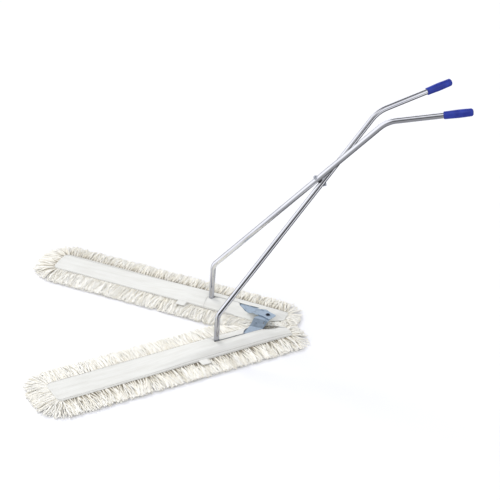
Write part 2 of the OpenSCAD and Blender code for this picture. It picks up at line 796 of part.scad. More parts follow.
// Section of the grip from its collar to its closed, rounded tip
module grip_section() {
    collar_r = grip_collar_d / 2;
    tip_r = grip_tip_d / 2;
    bore_depth = grip_length - grip_tip_wall + seat_gap;
    neck = grip_collar + grip_collar_d - grip_d;
    difference() {
        union() {
            translate([0, collar_round]) square([collar_r, grip_collar - collar_round]);
            square([collar_r - collar_round, grip_collar]);
            translate([collar_r - collar_round, collar_round]) circle(r = collar_round);
            polygon([[0, grip_collar], [collar_r, grip_collar], [grip_d / 2, neck],
                [tip_r, grip_length - grip_round], [0, grip_length - grip_round]]);
            translate([0, grip_length - 2 * grip_round]) square([tip_r - grip_round, 2 * grip_round]);
            translate([tip_r - grip_round, grip_length - grip_round]) circle(r = grip_round);
        }
        translate([-grip_collar_d, -overrun]) square([grip_collar_d, grip_length + 2 * overrun]);
        translate([0, -overrun]) square([tube_r + seat_gap, bore_depth + overrun]);
    }
}

module grip(side) {
    path = side == LEFT ? left_path : right_path;
    axis = unit(path[3] - path[2]);
    color(grip_blue) translate([apex_x, 0, 0])
        translate(path[3] - (grip_length - grip_tip_wall) * axis) aimed(axis)
            rotate_extrude() grip_section();
}

// Hollow apex rivet: the V turns about it
module apex_rivet() {
    low = tongue_z - seat_gap;
    high = right_tongue_z + bracket_t + clear_gap;
    bore = apex_rivet_d - 2 * apex_rivet_wall;
    color(zinc) translate([apex_x, 0, 0]) difference() {
        union() {
            translate([0, 0, low]) cylinder(d = apex_rivet_d, h = high - low);
            translate([0, 0, high]) rotate_extrude() apex_head_section();
            translate([0, 0, low]) mirror([0, 0, 1]) rotate_extrude() apex_head_section();
        }
        translate([0, 0, low - apex_head_h - overrun])
            cylinder(d = bore, h = high - low + 2 * apex_head_h + 2 * overrun);
    }
}

// Half section of a rivet head with a dished crown
module apex_head_section() {
    r = apex_head_d / 2;
    polygon([[0, 0], [r, 0], [r, apex_head_h * head_rim_share],
        [apex_head_d * head_shoulder_share, apex_head_h], [apex_head_d * head_dish_shares[0], apex_head_h],
        [0, apex_head_h * head_dish_shares[1]]]);
}

module apex_washer() {
    color(dark_plastic) translate([apex_x, 0, washer_z + seat_gap]) difference() {
        cylinder(r = tongue_r - overrun, h = apex_washer_t - seat_gap);
        translate([0, 0, -overrun]) cylinder(d = apex_bore, h = apex_washer_t + 2 * overrun);
    }
}

// Places pivot hardware on the upper tube, with Z square to both tubes
module on_pivot() {
    translate([apex_x, 0, 0]) translate(right_pivot) aimed(pivot_normal) children();
}

// The upper tube seen from the pivot, to shape what sits on it
module pivot_tube_cut() {
    translate([apex_x, 0, 0]) translate(right_pivot) aimed(right_dir)
        cylinder(d = tube_d + 2 * seat_gap, h = 2 * spacer_d, center = true);
}

module pivot_bolt() {
    top = tube_r + saddle_h / 2 + 2 * seat_gap;
    color(steel) on_pivot() {
        translate([0, 0, -bolt_low]) cylinder(d = pivot_d, h = bolt_low + top);
        translate([0, 0, top]) cylinder(d = hex_across, h = hex_h, $fn = 6);
    }
}

// Washer that saddles the upper tube under the bolt's head
module pivot_top_washer() {
    color(steel) difference() {
        on_pivot() translate([0, 0, tube_r - saddle_h]) difference() {
            cylinder(d = spacer_d, h = saddle_h + saddle_h / 2 + seat_gap);
            translate([0, 0, -overrun]) cylinder(d = pivot_hole_d, h = 2 * saddle_h + 2 * overrun);
        }
        pivot_tube_cut();
    }
}

// Dark spacer that saddles the upper tube and runs on the lower one
module pivot_spacer() {
    color(dark_plastic) difference() {
        on_pivot() translate([0, 0, -tube_r - spacer_t - seat_gap]) difference() {
            cylinder(d = spacer_d, h = saddle_h + spacer_t);
            translate([0, 0, -overrun]) cylinder(d = pivot_hole_d, h = saddle_h + spacer_t + 2 * overrun);
        }
        pivot_tube_cut();
    }
}

module pivot_bottom_washer() {
    top = -pivot_stack - tube_r - pivot_gap;
    color(steel) on_pivot() translate([0, 0, top - washer_t]) difference() {
        cylinder(d = spacer_d, h = washer_t);
        translate([0, 0, -overrun]) cylinder(d = pivot_d + 2 * fit_gap, h = washer_t + 2 * overrun);
    }
}

module pivot_nut() {
    top = -pivot_stack - tube_r - pivot_gap - washer_t - seat_gap;
    color(steel) on_pivot() translate([0, 0, top - hex_h]) difference() {
        cylinder(d = hex_across, h = hex_h, $fn = 6);
        translate([0, 0, -overrun]) cylinder(d = pivot_d + 2 * seat_gap, h = hex_h + 2 * overrun);
    }
}

wing_frame(LEFT);  // left_wing_frame
spine(LEFT);  // left_spine
stem_socket(LEFT);  // left_stem_socket
socket_rivets(LEFT);  // left_socket_rivets
stem_bush(LEFT);  // left_stem_bush
hinge_bracket(LEFT);  // left_hinge_bracket
bracket_rivets(LEFT);  // left_bracket_rivets
cover_backing(LEFT);  // left_cover_backing
mop_pad(LEFT);  // left_mop_pad
fringe(LEFT);  // left_fringe
handle_tube(LEFT);  // left_handle_tube
stem_clip(LEFT);  // left_stem_clip
grip(LEFT);  // left_grip
wing_frame(RIGHT);  // right_wing_frame
spine(RIGHT);  // right_spine
stem_socket(RIGHT);  // right_stem_socket
socket_rivets(RIGHT);  // right_socket_rivets
stem_bush(RIGHT);  // right_stem_bush
hinge_bracket(RIGHT);  // right_hinge_bracket
bracket_rivets(RIGHT);  // right_bracket_rivets
cover_backing(RIGHT);  // right_cover_backing
mop_pad(RIGHT);  // right_mop_pad
fringe(RIGHT);  // right_fringe
handle_tube(RIGHT);  // right_handle_tube
stem_clip(RIGHT);  // right_stem_clip
grip(RIGHT);  // right_grip
apex_rivet();
apex_washer();
pivot_bolt();
pivot_top_washer();
pivot_spacer();
pivot_bottom_washer();
pivot_nut();
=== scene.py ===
"""Scissor dust mop: the finishes, the yarn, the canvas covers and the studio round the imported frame."""

import json
import logging
import math
from dataclasses import dataclass
from enum import Enum, IntEnum
from typing import Sequence

import bmesh
import bpy
from mathutils import Matrix, Vector, noise

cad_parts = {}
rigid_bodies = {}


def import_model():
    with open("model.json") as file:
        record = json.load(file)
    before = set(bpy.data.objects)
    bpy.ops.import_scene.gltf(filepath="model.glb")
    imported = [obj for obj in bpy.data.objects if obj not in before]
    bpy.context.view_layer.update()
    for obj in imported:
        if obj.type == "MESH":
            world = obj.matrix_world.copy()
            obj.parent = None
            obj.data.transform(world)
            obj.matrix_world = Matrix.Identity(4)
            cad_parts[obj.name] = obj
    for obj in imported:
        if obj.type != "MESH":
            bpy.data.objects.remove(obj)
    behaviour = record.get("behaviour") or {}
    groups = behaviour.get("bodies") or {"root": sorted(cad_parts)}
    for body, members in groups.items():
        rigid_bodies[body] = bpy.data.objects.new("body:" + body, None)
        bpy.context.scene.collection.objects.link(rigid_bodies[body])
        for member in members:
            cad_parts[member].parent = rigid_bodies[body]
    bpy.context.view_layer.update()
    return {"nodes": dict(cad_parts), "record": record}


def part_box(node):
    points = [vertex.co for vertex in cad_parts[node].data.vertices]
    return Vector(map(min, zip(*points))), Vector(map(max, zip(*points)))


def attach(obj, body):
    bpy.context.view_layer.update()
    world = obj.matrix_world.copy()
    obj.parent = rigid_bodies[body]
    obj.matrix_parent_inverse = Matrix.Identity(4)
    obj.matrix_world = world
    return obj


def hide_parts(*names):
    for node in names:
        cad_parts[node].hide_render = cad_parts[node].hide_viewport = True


LOG = logging.getLogger("dust_mop")
EDGED_SLOTS = ("zinc_steel", "rod_steel")
BLACKED_NODE = "apex_rivet"
EDGE_WELD = 0.00001
EDGE_WIDTH = 0.0005
EDGE_SEGMENTS = 2
EDGE_ANGLE = math.radians(40.0)
SHARP_ANGLE = math.radians(50.0)
CLOSE_MERGE = 0.000001
THREAD_SIDES = 5
SEED_STEP = 10
TURN = 2.0 * math.pi
QUARTER = math.pi / 2.0

Color = tuple[float, float, float]
Place = tuple[float, float, float]
Span = tuple[float, float]
Feeds = dict[object, object]
Material = bpy.types.Material
Materials = dict[str, bpy.types.Material]
Mesh = bpy.types.Mesh
Object = bpy.types.Object
Socket = bpy.types.NodeSocket
Vert = bmesh.types.BMVert

WHITE: Color = (1.0, 1.0, 1.0)
UNSCALED: Place = (1.0, 1.0, 1.0)
LEVEL: Place = (1.0, 1.0, 0.0)


class Side(Enum):
    """The two halves of the mop; the value is the prefix of the node names."""

    LEFT = "left"
    RIGHT = "right"

    @property
    def mirror(self) -> float:
        """Factor on Y that turns a left place into one of this side."""
        return 1.0 if self is Side.LEFT else -1.0

    def node(self, name: str) -> str:
        """Full name of one of this side's nodes or bodies."""
        return f"{self.value}_{name}"


class Draw(IntEnum):
    """Numbers that keep the random draws of a strand of yarn apart."""

    LOOSE = 1
    TONE = 2
    PUFF = 3
    SIZE = 4
    PHASE = 5
    RAISED = 6


def mix(a: float, b: float, t: float) -> float:
    """Value a share t of the way from a to b."""
    return a + (b - a) * t


def clamp(t: float) -> float:
    """t held between 0 and 1."""
    return min(1.0, max(0.0, t))


def ease(t: float) -> float:
    """Smooth step of t between 0 and 1."""
    c = clamp(t)
    return c * c * (3.0 - 2.0 * c)


def shares(count: int) -> list[float]:
    """Even shares from 0 to 1."""
    return [i / count for i in range(count + 1)]


def quarter(count: int) -> list[float]:
    """Angles over a quarter turn."""
    return [QUARTER * i / count for i in range(count + 1)]


class NodeKit:
    """A node tree with short calls for its nodes."""

    def __init__(self, tree: bpy.types.NodeTree) -> None:
        """Takes up a node tree.

        Args:
            tree: The tree.
        """
        self.nodes = tree.nodes
        self.links = tree.links

    def feed(self, target: Socket, value: object) -> None:
        """Links a socket to an input, or sets the input to a plain value.

        Args:
            target: The input.
            value: A socket or a plain value.
        """
        if isinstance(value, Socket):
            self.links.new(value, target)
        else:
            target.default_value = value

    def node(self, kind: str, feeds: Feeds | None = None, **settings: object) -> bpy.types.Node:
        """Adds a node and feeds its inputs.

        Args:
            kind: Node type.
            feeds: Sockets or plain values by input name or index.
            settings: Attributes that are set on the node first.

        Returns:
            The new node.
        """
        made = self.nodes.new(kind)
        for key, value in settings.items():
            setattr(made, key, value)
        for key, value in (feeds or {}).items():
            self.feed(made.inputs[key], value)
        return made

    def socket(
        self, kind: str, feeds: Feeds | None = None, output: int | str = 0, **settings: object
    ) -> Socket:
        """Adds a node, feeds its inputs and gives one of its outputs."""
        return self.node(kind, feeds, **settings).outputs[output]

    def math(self, operation: str, a: object, b: object = 0.0) -> Socket:
        """Result of an operation on numbers or sockets."""
        return self.socket("ShaderNodeMath", {0: a, 1: b}, operation=operation)

    def plus(self, a: object, b: object) -> Socket:
        """Sum of two numbers or sockets."""
        return self.math("ADD", a, b)

    def times(self, a: object, b: object) -> Socket:
        """Product of two numbers or sockets."""
        return self.math("MULTIPLY", a, b)

    def vector(self, operation: str, a: object, b: object, output: int = 0) -> Socket:
        """Result of an operation on vectors."""
        return self.socket("ShaderNodeVectorMath", {0: a, 1: b}, output, operation=operation)

    def scaled(self, vector: object, factor: object) -> Socket:
        """A vector times a number."""
        return self.socket("ShaderNodeVectorMath", {0: vector, "Scale": factor}, operation="SCALE")

    def upward(self, vector: Socket) -> Socket:
        """Height of a vector."""
        return self.socket("ShaderNodeSeparateXYZ", {0: vector}, 2)


class Shader(NodeKit):
    """A material's node tree with short calls for the nodes that the finishes use."""

    def __init__(self, name: str) -> None:
        """Starts a material with its output and a principled shader.

        Args:
            name: Name of the material.
        """
        self.material = bpy.data.materials.new(name)
        self.material.use_nodes = True
        super().__init__(self.material.node_tree)
        self.surface = self.nodes["Principled BSDF"]

    def set(self, **values: object) -> None:
        """Sets or links inputs of the principled shader, with underscores for spaces."""
        for key, value in values.items():
            self.feed(self.surface.inputs[key.replace("_", " ").title().replace("Ior", "IOR")], value)

    def coordinates(self, scale: Place, output: str = "Object") -> Socket:
        """Texture coordinates, Object or UV, times a scale in repeats per metre."""
        place = self.socket("ShaderNodeTexCoord", output=output)
        return self.socket("ShaderNodeMapping", {"Vector": place, "Scale": scale})

    def attribute(self, name: str) -> Socket:
        """Number that the mesh carries under a name."""
        return self.socket("ShaderNodeAttribute", {}, "Fac", attribute_name=name)

    def noise(self, scale: Place, detail: float, output: str = "Object") -> Socket:
        """Noise of about 0 to 1, with its repeats per metre and its octaves."""
        feeds = {"Vector": self.coordinates(scale, output), "Scale": 1.0, "Detail": detail}
        return self.socket("ShaderNodeTexNoise", feeds, "Fac")

    def ramp(self, factor: Socket, places: Sequence[float], colors: Sequence[Color | float]) -> Socket:
        """Colours along a factor.

        Args:
            factor: Socket that drives the ramp.
            places: Places of the stops.
            colors: Their colours, or greys as single numbers.

        Returns:
            The colour socket.
        """
        made = self.node("ShaderNodeValToRGB", {"Fac": factor})
        elements = made.color_ramp.elements
        while len(elements) < len(places):
            elements.new(1.0)
        for element, place, color in zip(elements, places, colors):
            element.position = place
            element.color = (*(color if isinstance(color, tuple) else (color,) * 3), 1.0)
        return made.outputs["Color"]

    def multiply(self, a: Socket, b: Socket, share: float = 1.0) -> Socket:
        """A colour times a share of a second one."""
        feeds = {"Factor": share, "A": a, "B": b}
        return self.socket("ShaderNodeMix", feeds, "Result", data_type="RGBA", blend_type="MULTIPLY")

    def bump(self, height: Socket, strength: float, distance: float) -> None:
        """Adds a bump to the surface, over any bump that is there.

        Args:
            height: Height socket.
            strength: Strength of the bump.
            distance: Height in metres.
        """
        normal = self.surface.inputs["Normal"]
        feeds: Feeds = {"Height": height, "Strength": strength, "Distance": distance}
        if normal.is_linked:
            feeds["Normal"] = normal.links[0].from_socket
        self.set(normal=self.socket("ShaderNodeBump", feeds))


@dataclass(frozen=True)
class ChromeFinish:
    """Chromed steel tube with faint clouds in its polish, and painted shade that darkens it near the floor
    in place of the darker reflections there.
    """

    name: str = "chrome_tube"
    bright: Color = (0.88, 0.885, 0.90)
    dull: Color = (0.78, 0.785, 0.81)
    tone_stops: Span = (0.35, 0.6)
    # Painted shade: foot is the darker colour painted on the chrome near the floor, in place of the darker
    # reflections there.
    foot: Color = (0.60, 0.605, 0.645)
    painted_foot_span: Span = (0.10, 0.20)
    roughness: Span = (0.09, 0.03)
    rough_stops: Span = (0.3, 0.7)
    cloud_scale: Place = (9.0, 9.0, 4.0)
    cloud_detail: float = 4.0

    def material(self) -> Material:
        """Builds the material.

        Returns:
            The material.
        """
        sh = Shader(self.name)
        cloud = sh.noise(self.cloud_scale, self.cloud_detail)
        tone = sh.ramp(cloud, self.tone_stops, (self.dull, self.bright))
        # Painted shade: darkens the chrome from the top of its span down to the floor.
        painted_foot_shade = sh.ramp(sh.upward(sh.coordinates(UNSCALED)), self.painted_foot_span, (self.foot, WHITE))
        rough = sh.ramp(cloud, self.rough_stops, self.roughness)
        sh.set(base_color=sh.multiply(tone, painted_foot_shade), roughness=rough, metallic=1.0)
        return sh.material


@dataclass(frozen=True)
class CloudedFinish:
    """A finish whose colour and roughness drift in clouds over a fine grain."""

    name: str
    light: Color
    dark: Color
    roughness: Span
    metallic: float = 0.0
    cloud_scale: Place = (35.0, 35.0, 35.0)
    cloud_detail: float = 3.0
    tone_stops: Span = (0.3, 0.7)
    rough_stops: Span = (0.25, 0.75)
    grain_scale: Place = (700.0, 700.0, 700.0)
    grain_detail: float = 2.0
    grain_bump: Span = (0.15, 0.0002)

    def shader(self) -> Shader:
        """Builds the clouds and the grain.

        Returns:
            The shader, for what else the finish has.
        """
        sh = Shader(self.name)
        cloud = sh.noise(self.cloud_scale, self.cloud_detail)
        tone = sh.ramp(cloud, self.tone_stops, (self.dark, self.light))
        rough = sh.ramp(cloud, self.rough_stops, self.roughness)
        sh.set(base_color=tone, roughness=rough, metallic=self.metallic)
        sh.bump(sh.noise(self.grain_scale, self.grain_detail), *self.grain_bump)
        return sh


@dataclass(frozen=True)
class PlatedFinish(CloudedFinish):
    """Plated steel with cloudy passivation and rolling marks."""

    metallic: float = 0.6
    cloud_scale: Place = (70.0, 70.0, 70.0)
    cloud_detail: float = 5.0
    rough_stops: Span = (0.3, 0.75)
    grain_scale: Place = (900.0, 160.0, 900.0)
    grain_bump: Span = (0.05, 0.0002)

    def material(self) -> Material:
        """Builds the material."""
        return self.shader().material


@dataclass(frozen=True)
class PlasticFinish(CloudedFinish):
    """Moulded plastic with a fine skin and a thin gloss."""

    gloss: float = 0.0
    gloss_roughness: float = 0.12
    sheen_level: float = 0.5

    def material(self) -> Material:
        """Builds the material.

        Returns:
            The material.
        """
        sh = self.shader()
        sh.set(coat_weight=self.gloss, coat_roughness=self.gloss_roughness)
        sh.set(specular_ior_level=self.sheen_level)
        return sh.material


@dataclass(frozen=True)
class CanvasFinish:
    """Bleached woven canvas: threads both ways, slubs along the warp and soft creases, with painted shade
    darkening the creases.
    """

    name: str = "cotton_backing"
    white: Color = (0.77, 0.768, 0.715)
    shade: Color = (0.72, 0.713, 0.659)
    slub_scale: Place = (5.0, 240.0, 1.0)
    slub_stops: Span = (0.25, 0.62)
    # Painted shade: the colour that the creases are darkened to.
    crease: Color = (0.93, 0.925, 0.91)
    crease_scale: Place = (9.0, 55.0, 1.0)
    painted_crease_stops: Span = (0.3, 0.6)
    crease_bump: Span = (0.3, 0.004)
    noise_detail: float = 3.0
    threads_per_metre: float = 900.0
    thread_waver: float = 1.2
    thread_bump: Span = (0.25, 0.0004)
    roughness: float = 0.92
    sheen: float = 0.25
    sheen_roughness: float = 0.6

    def material(self) -> Material:
        """Builds the material.

        Returns:
            The material.
        """
        sh = Shader(self.name)
        slub = sh.noise(self.slub_scale, self.noise_detail, "UV")
        crease = sh.noise(self.crease_scale, self.noise_detail, "UV")
        tone = sh.ramp(slub, self.slub_stops, (self.shade, self.white))
        # Painted shade: darkens the cloth where the crease noise dents it.
        soft = sh.ramp(crease, self.painted_crease_stops, (self.crease, WHITE))
        for direction in ("X", "Y"):
            feeds = {
                "Vector": sh.coordinates(UNSCALED, "UV"),
                "Scale": self.threads_per_metre / TURN,
                "Distortion": self.thread_waver,
            }
            bands = {"wave_type": "BANDS", "bands_direction": direction}
            sh.bump(sh.socket("ShaderNodeTexWave", feeds, "Fac", **bands), *self.thread_bump)
        sh.bump(crease, *self.crease_bump)
        sh.set(base_color=sh.multiply(tone, soft), roughness=self.roughness)
        sh.set(sheen_weight=self.sheen, sheen_roughness=self.sheen_roughness)
        return sh.material


@dataclass(frozen=True)
class YarnFinish:
    """Twisted cotton yarn with painted shade: darker at its root, on lower layers and in the gaps between
    tufts, paler at its cut end.
    """

    name: str = "cotton_yarn"
    # Painted shade: root is the dark colour painted near the cloth's edge where strands shade each other.
    root: Color = (0.34, 0.30, 0.22)
    body: Color = (0.95, 0.92, 0.82)
    end: Color = (0.98, 0.965, 0.90)
    tone_stops: Place = (0.0, 0.34, 0.7)
    soiled: Color = (0.88, 0.855, 0.785)
    soil_stops: Span = (0.0, 0.7)
    soil_share: float = 0.85
    plies: float = 26.0
    ply_bump: Span = (0.35, 0.0005)
    fluff_scale: Place = (500.0, 500.0, 500.0)
    fluff_detail: float = 2.0
    fluff_bump: Span = (0.3, 0.0005)
    top_height: float = 0.0155
    painted_layer_shade: float = 0.5
    roughness: float = 0.95
    sheen: float = 0.2

    def material(self) -> Material:
        """Builds the material.

        Returns:
            The material.
        """
        sh = Shader(self.name)
        # Painted shade: the ramp darkens each strand from its cut end to its root, more on lower layers
        # and in the gaps between tufts.
        along, tone, height = map(sh.attribute, ("along", "tone", "height"))
        feeds = {"Value": height, "From Max": self.top_height, "To Min": -self.painted_layer_shade, "To Max": 0.0}
        lit = sh.plus(along, sh.socket("ShaderNodeMapRange", feeds, clamp=False))
        color = sh.ramp(lit, self.tone_stops, (self.root, self.body, self.end))
        stain = sh.ramp(tone, self.soil_stops, (self.soiled, WHITE))
        sh.bump(sh.math("SINE", sh.times(along, TURN * self.plies)), *self.ply_bump)
        sh.bump(sh.noise(self.fluff_scale, self.fluff_detail), *self.fluff_bump)
        sh.set(base_color=sh.multiply(color, stain, self.soil_share))
        sh.set(roughness=self.roughness, sheen_weight=self.sheen)
        return sh.material


FINISHES = (
    ChromeFinish(),
    PlatedFinish("zinc_steel", (0.46, 0.555, 0.65), (0.34, 0.43, 0.52), (0.26, 0.42)),
    PlatedFinish("rod_steel", (0.70, 0.72, 0.75), (0.50, 0.52, 0.56), (0.22, 0.4)),
    PlatedFinish("blacked_steel", (0.06, 0.075, 0.10), (0.03, 0.04, 0.06), (0.28, 0.45)),
    PlasticFinish("dark_plastic", (0.035, 0.035, 0.04), (0.02, 0.02, 0.024), (0.4, 0.6)),
    PlasticFinish(
        "blue_plastic", (0.020, 0.044, 0.34), (0.011, 0.022, 0.22), (0.30, 0.42),
        gloss=0.35, gloss_roughness=0.2, sheen_level=0.25,
    ),
    CanvasFinish(),
    CanvasFinish("seam_thread", (0.40, 0.385, 0.35), (0.30, 0.285, 0.25)),
    YarnFinish(),
)


def piece(name: str, mesh: Mesh) -> Object:
    """Links a mesh into the scene as a piece at the origin.

    Args:
        name: Name of the piece.
        mesh: Its mesh, in place.

    Returns:
        The new object.
    """
    mesh.name = name
    made = bpy.data.objects.new(name, mesh)
    bpy.context.scene.collection.objects.link(made)
    return made


def thicken(sheet: Object, thickness: float, offset: float) -> None:
    """Gives a sheet its thickness.

    Args:
        sheet: The sheet's piece.
        thickness: Its thickness.
        offset: Side that it grows to: 1 for outwards, 0 for both.
    """
    shell = sheet.modifiers.new("thickness", "SOLIDIFY")
    shell.thickness = thickness
    shell.offset = offset


def chain_mesh(name: str, chains: Sequence[Sequence[Vector]]) -> Mesh:
    """Mesh of open edge chains.

    Args:
        name: Name of the mesh.
        chains: Points of each chain.

    Returns:
        The mesh.
    """
    points: list[Vector] = []
    edges: list[tuple[int, int]] = []
    for chain in chains:
        start = len(points)
        points.extend(chain)
        edges.extend((start + i, start + i + 1) for i in range(len(chain) - 1))
    mesh = bpy.data.meshes.new(name)
    mesh.from_pydata(points, edges, [])
    return mesh


class Shell:
    """A mesh that is laid in rows of points, with four-sided faces between them."""

    def __init__(self, woven: bool = False) -> None:
        """Starts an empty mesh.

        Args:
            woven: Whether its points have places on flat cloth.
        """
        self.mesh = bmesh.new()
        self.weave = self.mesh.loops.layers.uv.new("weave") if woven else None

    def points(self, rows: Sequence[Sequence[Vector]]) -> list[list[Vert]]:
        """Adds rows of points."""
        return [[self.mesh.verts.new(point) for point in row] for row in rows]

    def rings(self, rows: Sequence[Sequence[Vector]]) -> list[list[Vert]]:
        """Adds rings of points, each of which comes back to its first point."""
        return [[*line, line[0]] for line in self.points(rows)]

    def bands(self, rows: Sequence[Sequence[Vert]], flip: bool = False) -> None:
        """Fills the room between each row and the next with faces.

        Args:
            rows: Rows of points.
            flip: Whether the faces look the other way.
        """
        for a, b in zip(rows, rows[1:]):
            for j in range(len(a) - 1):
                corners = (a[j], a[j + 1], b[j + 1], b[j])
                self.mesh.faces.new(corners[::-1] if flip else corners)

    def sheet(self, rows: Sequence[Sequence[tuple[Vector, Span]]], flip: bool) -> None:
        """Lays a sheet of cloth.

        Args:
            rows: Points of each row, with their places on the flat cloth.
            flip: Whether its faces look the other way.
        """
        grid = self.points([[point for point, _ in row] for row in rows])
        self.bands(grid, flip)
        for line, row in zip(grid, rows):
            for vert, (_, place) in zip(line, row):
                for loop in vert.link_loops:
                    loop[self.weave].uv = place

    def made(self, name: str, finish: Material, merge: float = 0.0) -> Mesh:
        """Ends with a smooth mesh.

        Args:
            name: Name of the mesh.
            finish: Its material.
            merge: Distance within which points are merged, 0 for none.

        Returns:
            The mesh.
        """
        if merge > 0.0:
            bmesh.ops.remove_doubles(self.mesh, verts=self.mesh.verts, dist=merge)
        made = bpy.data.meshes.new(name)
        self.mesh.to_mesh(made)
        self.mesh.free()
        made.polygons.foreach_set("use_smooth", [True] * len(made.polygons))
        made.materials.append(finish)
        return made

    def closed(self, name: str, finish: Material) -> Mesh:
        """Ends with a closed mesh that looks outwards and is sharp at its corners.

        Args:
            name: Name of the mesh.
            finish: Its material.

        Returns:
            The mesh.
        """
        bmesh.ops.remove_doubles(self.mesh, verts=self.mesh.verts, dist=CLOSE_MERGE)
        rim = [edge for edge in self.mesh.edges if edge.is_boundary]
        bmesh.ops.holes_fill(self.mesh, edges=rim)
        bmesh.ops.recalc_face_normals(self.mesh, faces=self.mesh.faces)
        made = self.made(name, finish)
        made.set_sharp_from_angle(angle=SHARP_ANGLE)
        return made


class Tree(NodeKit):
    """A Geometry Nodes tree with named inputs and short calls for its nodes."""

    def __init__(self, name: str, *numbers: str) -> None:
        """Starts a tree that takes geometry, numbers and a material, and gives geometry.

        Args:
            name: Name of the tree.
            numbers: Names of its numbers.
        """
        self.group = bpy.data.node_groups.new(name, "GeometryNodeTree")
        super().__init__(self.group)
        self.input = self.nodes.new("NodeGroupInput")
        self.output = self.nodes.new("NodeGroupOutput")
        kinds = {"Geometry": "Geometry", **dict.fromkeys(numbers, "Float"), "Material": "Material"}
        self.ids = {key: self.add(key, "INPUT", kind) for key, kind in kinds.items()}
        self.add("Geometry", "OUTPUT", "Geometry")

    def add(self, name: str, way: str, kind: str) -> str:
        """Adds a named input or output and gives its identifier."""
        face = self.group.interface
        return face.new_socket(name=name, in_out=way, socket_type=f"NodeSocket{kind}").identifier

    def named(self, name: str) -> Socket:
        """Socket of a named input."""
        return self.input.outputs[name]

    def attribute(self, name: str, kind: str = "FLOAT") -> Socket:
        """Reads a named attribute."""
        return self.socket("GeometryNodeInputNamedAttribute", {"Name": name}, "Attribute", data_type=kind)

    def store(self, geometry: Socket, name: str, value: Socket, kind: str = "FLOAT") -> Socket:
        """Geometry with a named attribute on its points."""
        feeds = {"Geometry": geometry, "Name": name, "Value": value}
        return self.socket("GeometryNodeStoreNamedAttribute", feeds, data_type=kind, domain="POINT")

    def random(self, low: float, high: float, draw: Draw) -> Socket:
        """Random number for each point, from the tree's seed and the draw's own number."""
        feeds = {2: low, 3: high, "Seed": self.plus(self.named("Seed"), float(draw))}
        return self.socket("FunctionNodeRandomValue", feeds, 1, data_type="FLOAT")

    def spaced(self, name: str) -> Socket:
        """Points along the base mesh's chains.

        Args:
            name: Input that says how far apart they are.

        Returns:
            The points.
        """
        chain = self.socket("GeometryNodeMeshToCurve", {"Mesh": self.named("Geometry")})
        feeds = {"Curve": chain, "Length": self.named(name)}
        return self.socket("GeometryNodeResampleCurve", feeds, mode="LENGTH")

    def turned(self, vector: Socket, angle: object) -> Socket:
        """A vector turned about the upright axis."""
        feeds = {"Vector": vector, "Angle": angle}
        return self.socket("ShaderNodeVectorRotate", feeds, rotation_type="Z_AXIS")

    def upright(self, height: Socket) -> Socket:
        """Upright vector of a height."""
        return self.socket("ShaderNodeCombineXYZ", {2: height})

    def tube(self, curve: Socket) -> Socket:
        """Closed tubes of the input Radius along curves.

        Args:
            curve: The curves.

        Returns:
            The tubes.
        """
        feeds = {"Resolution": THREAD_SIDES, "Radius": self.named("Radius")}
        ring = self.socket("GeometryNodeCurvePrimitiveCircle", feeds)
        feeds = {"Curve": curve, "Profile Curve": ring, "Fill Caps": True}
        return self.socket("GeometryNodeCurveToMesh", feeds)

    def finish(self, geometry: Socket) -> None:
        """Ends the tree with plain, smooth geometry in its material.

        Args:
            geometry: Geometry to end with.
        """
        real = self.socket("GeometryNodeRealizeInstances", {"Geometry": geometry})
        smooth = self.socket("GeometryNodeSetShadeSmooth", {"Geometry": real})
        feeds = {"Geometry": smooth, "Material": self.named("Material")}
        self.links.new(self.socket("GeometryNodeSetMaterial", feeds), self.output.inputs[0])

    def grow(self, name: str, base: Mesh, values: dict[str, object]) -> Object:
        """Runs the tree on a base mesh and keeps the result as a plain mesh.

        Args:
            name: Name of the new object.
            base: Mesh that the tree starts from.
            values: Values of the named inputs.

        Returns:
            An object with the finished mesh.
        """
        seedling = bpy.data.objects.new(f"{name}_base", base)
        bpy.context.scene.collection.objects.link(seedling)
        modifier = seedling.modifiers.new("grow", "NODES")
        modifier.node_group = self.group
        for key, value in values.items():
            modifier[self.ids[key]] = value
        graph = bpy.context.evaluated_depsgraph_get()
        mesh = bpy.data.meshes.new_from_object(seedling.evaluated_get(graph), depsgraph=graph)
        seedling.modifiers.remove(modifier)
        bpy.data.objects.remove(seedling)
        return piece(name, mesh)


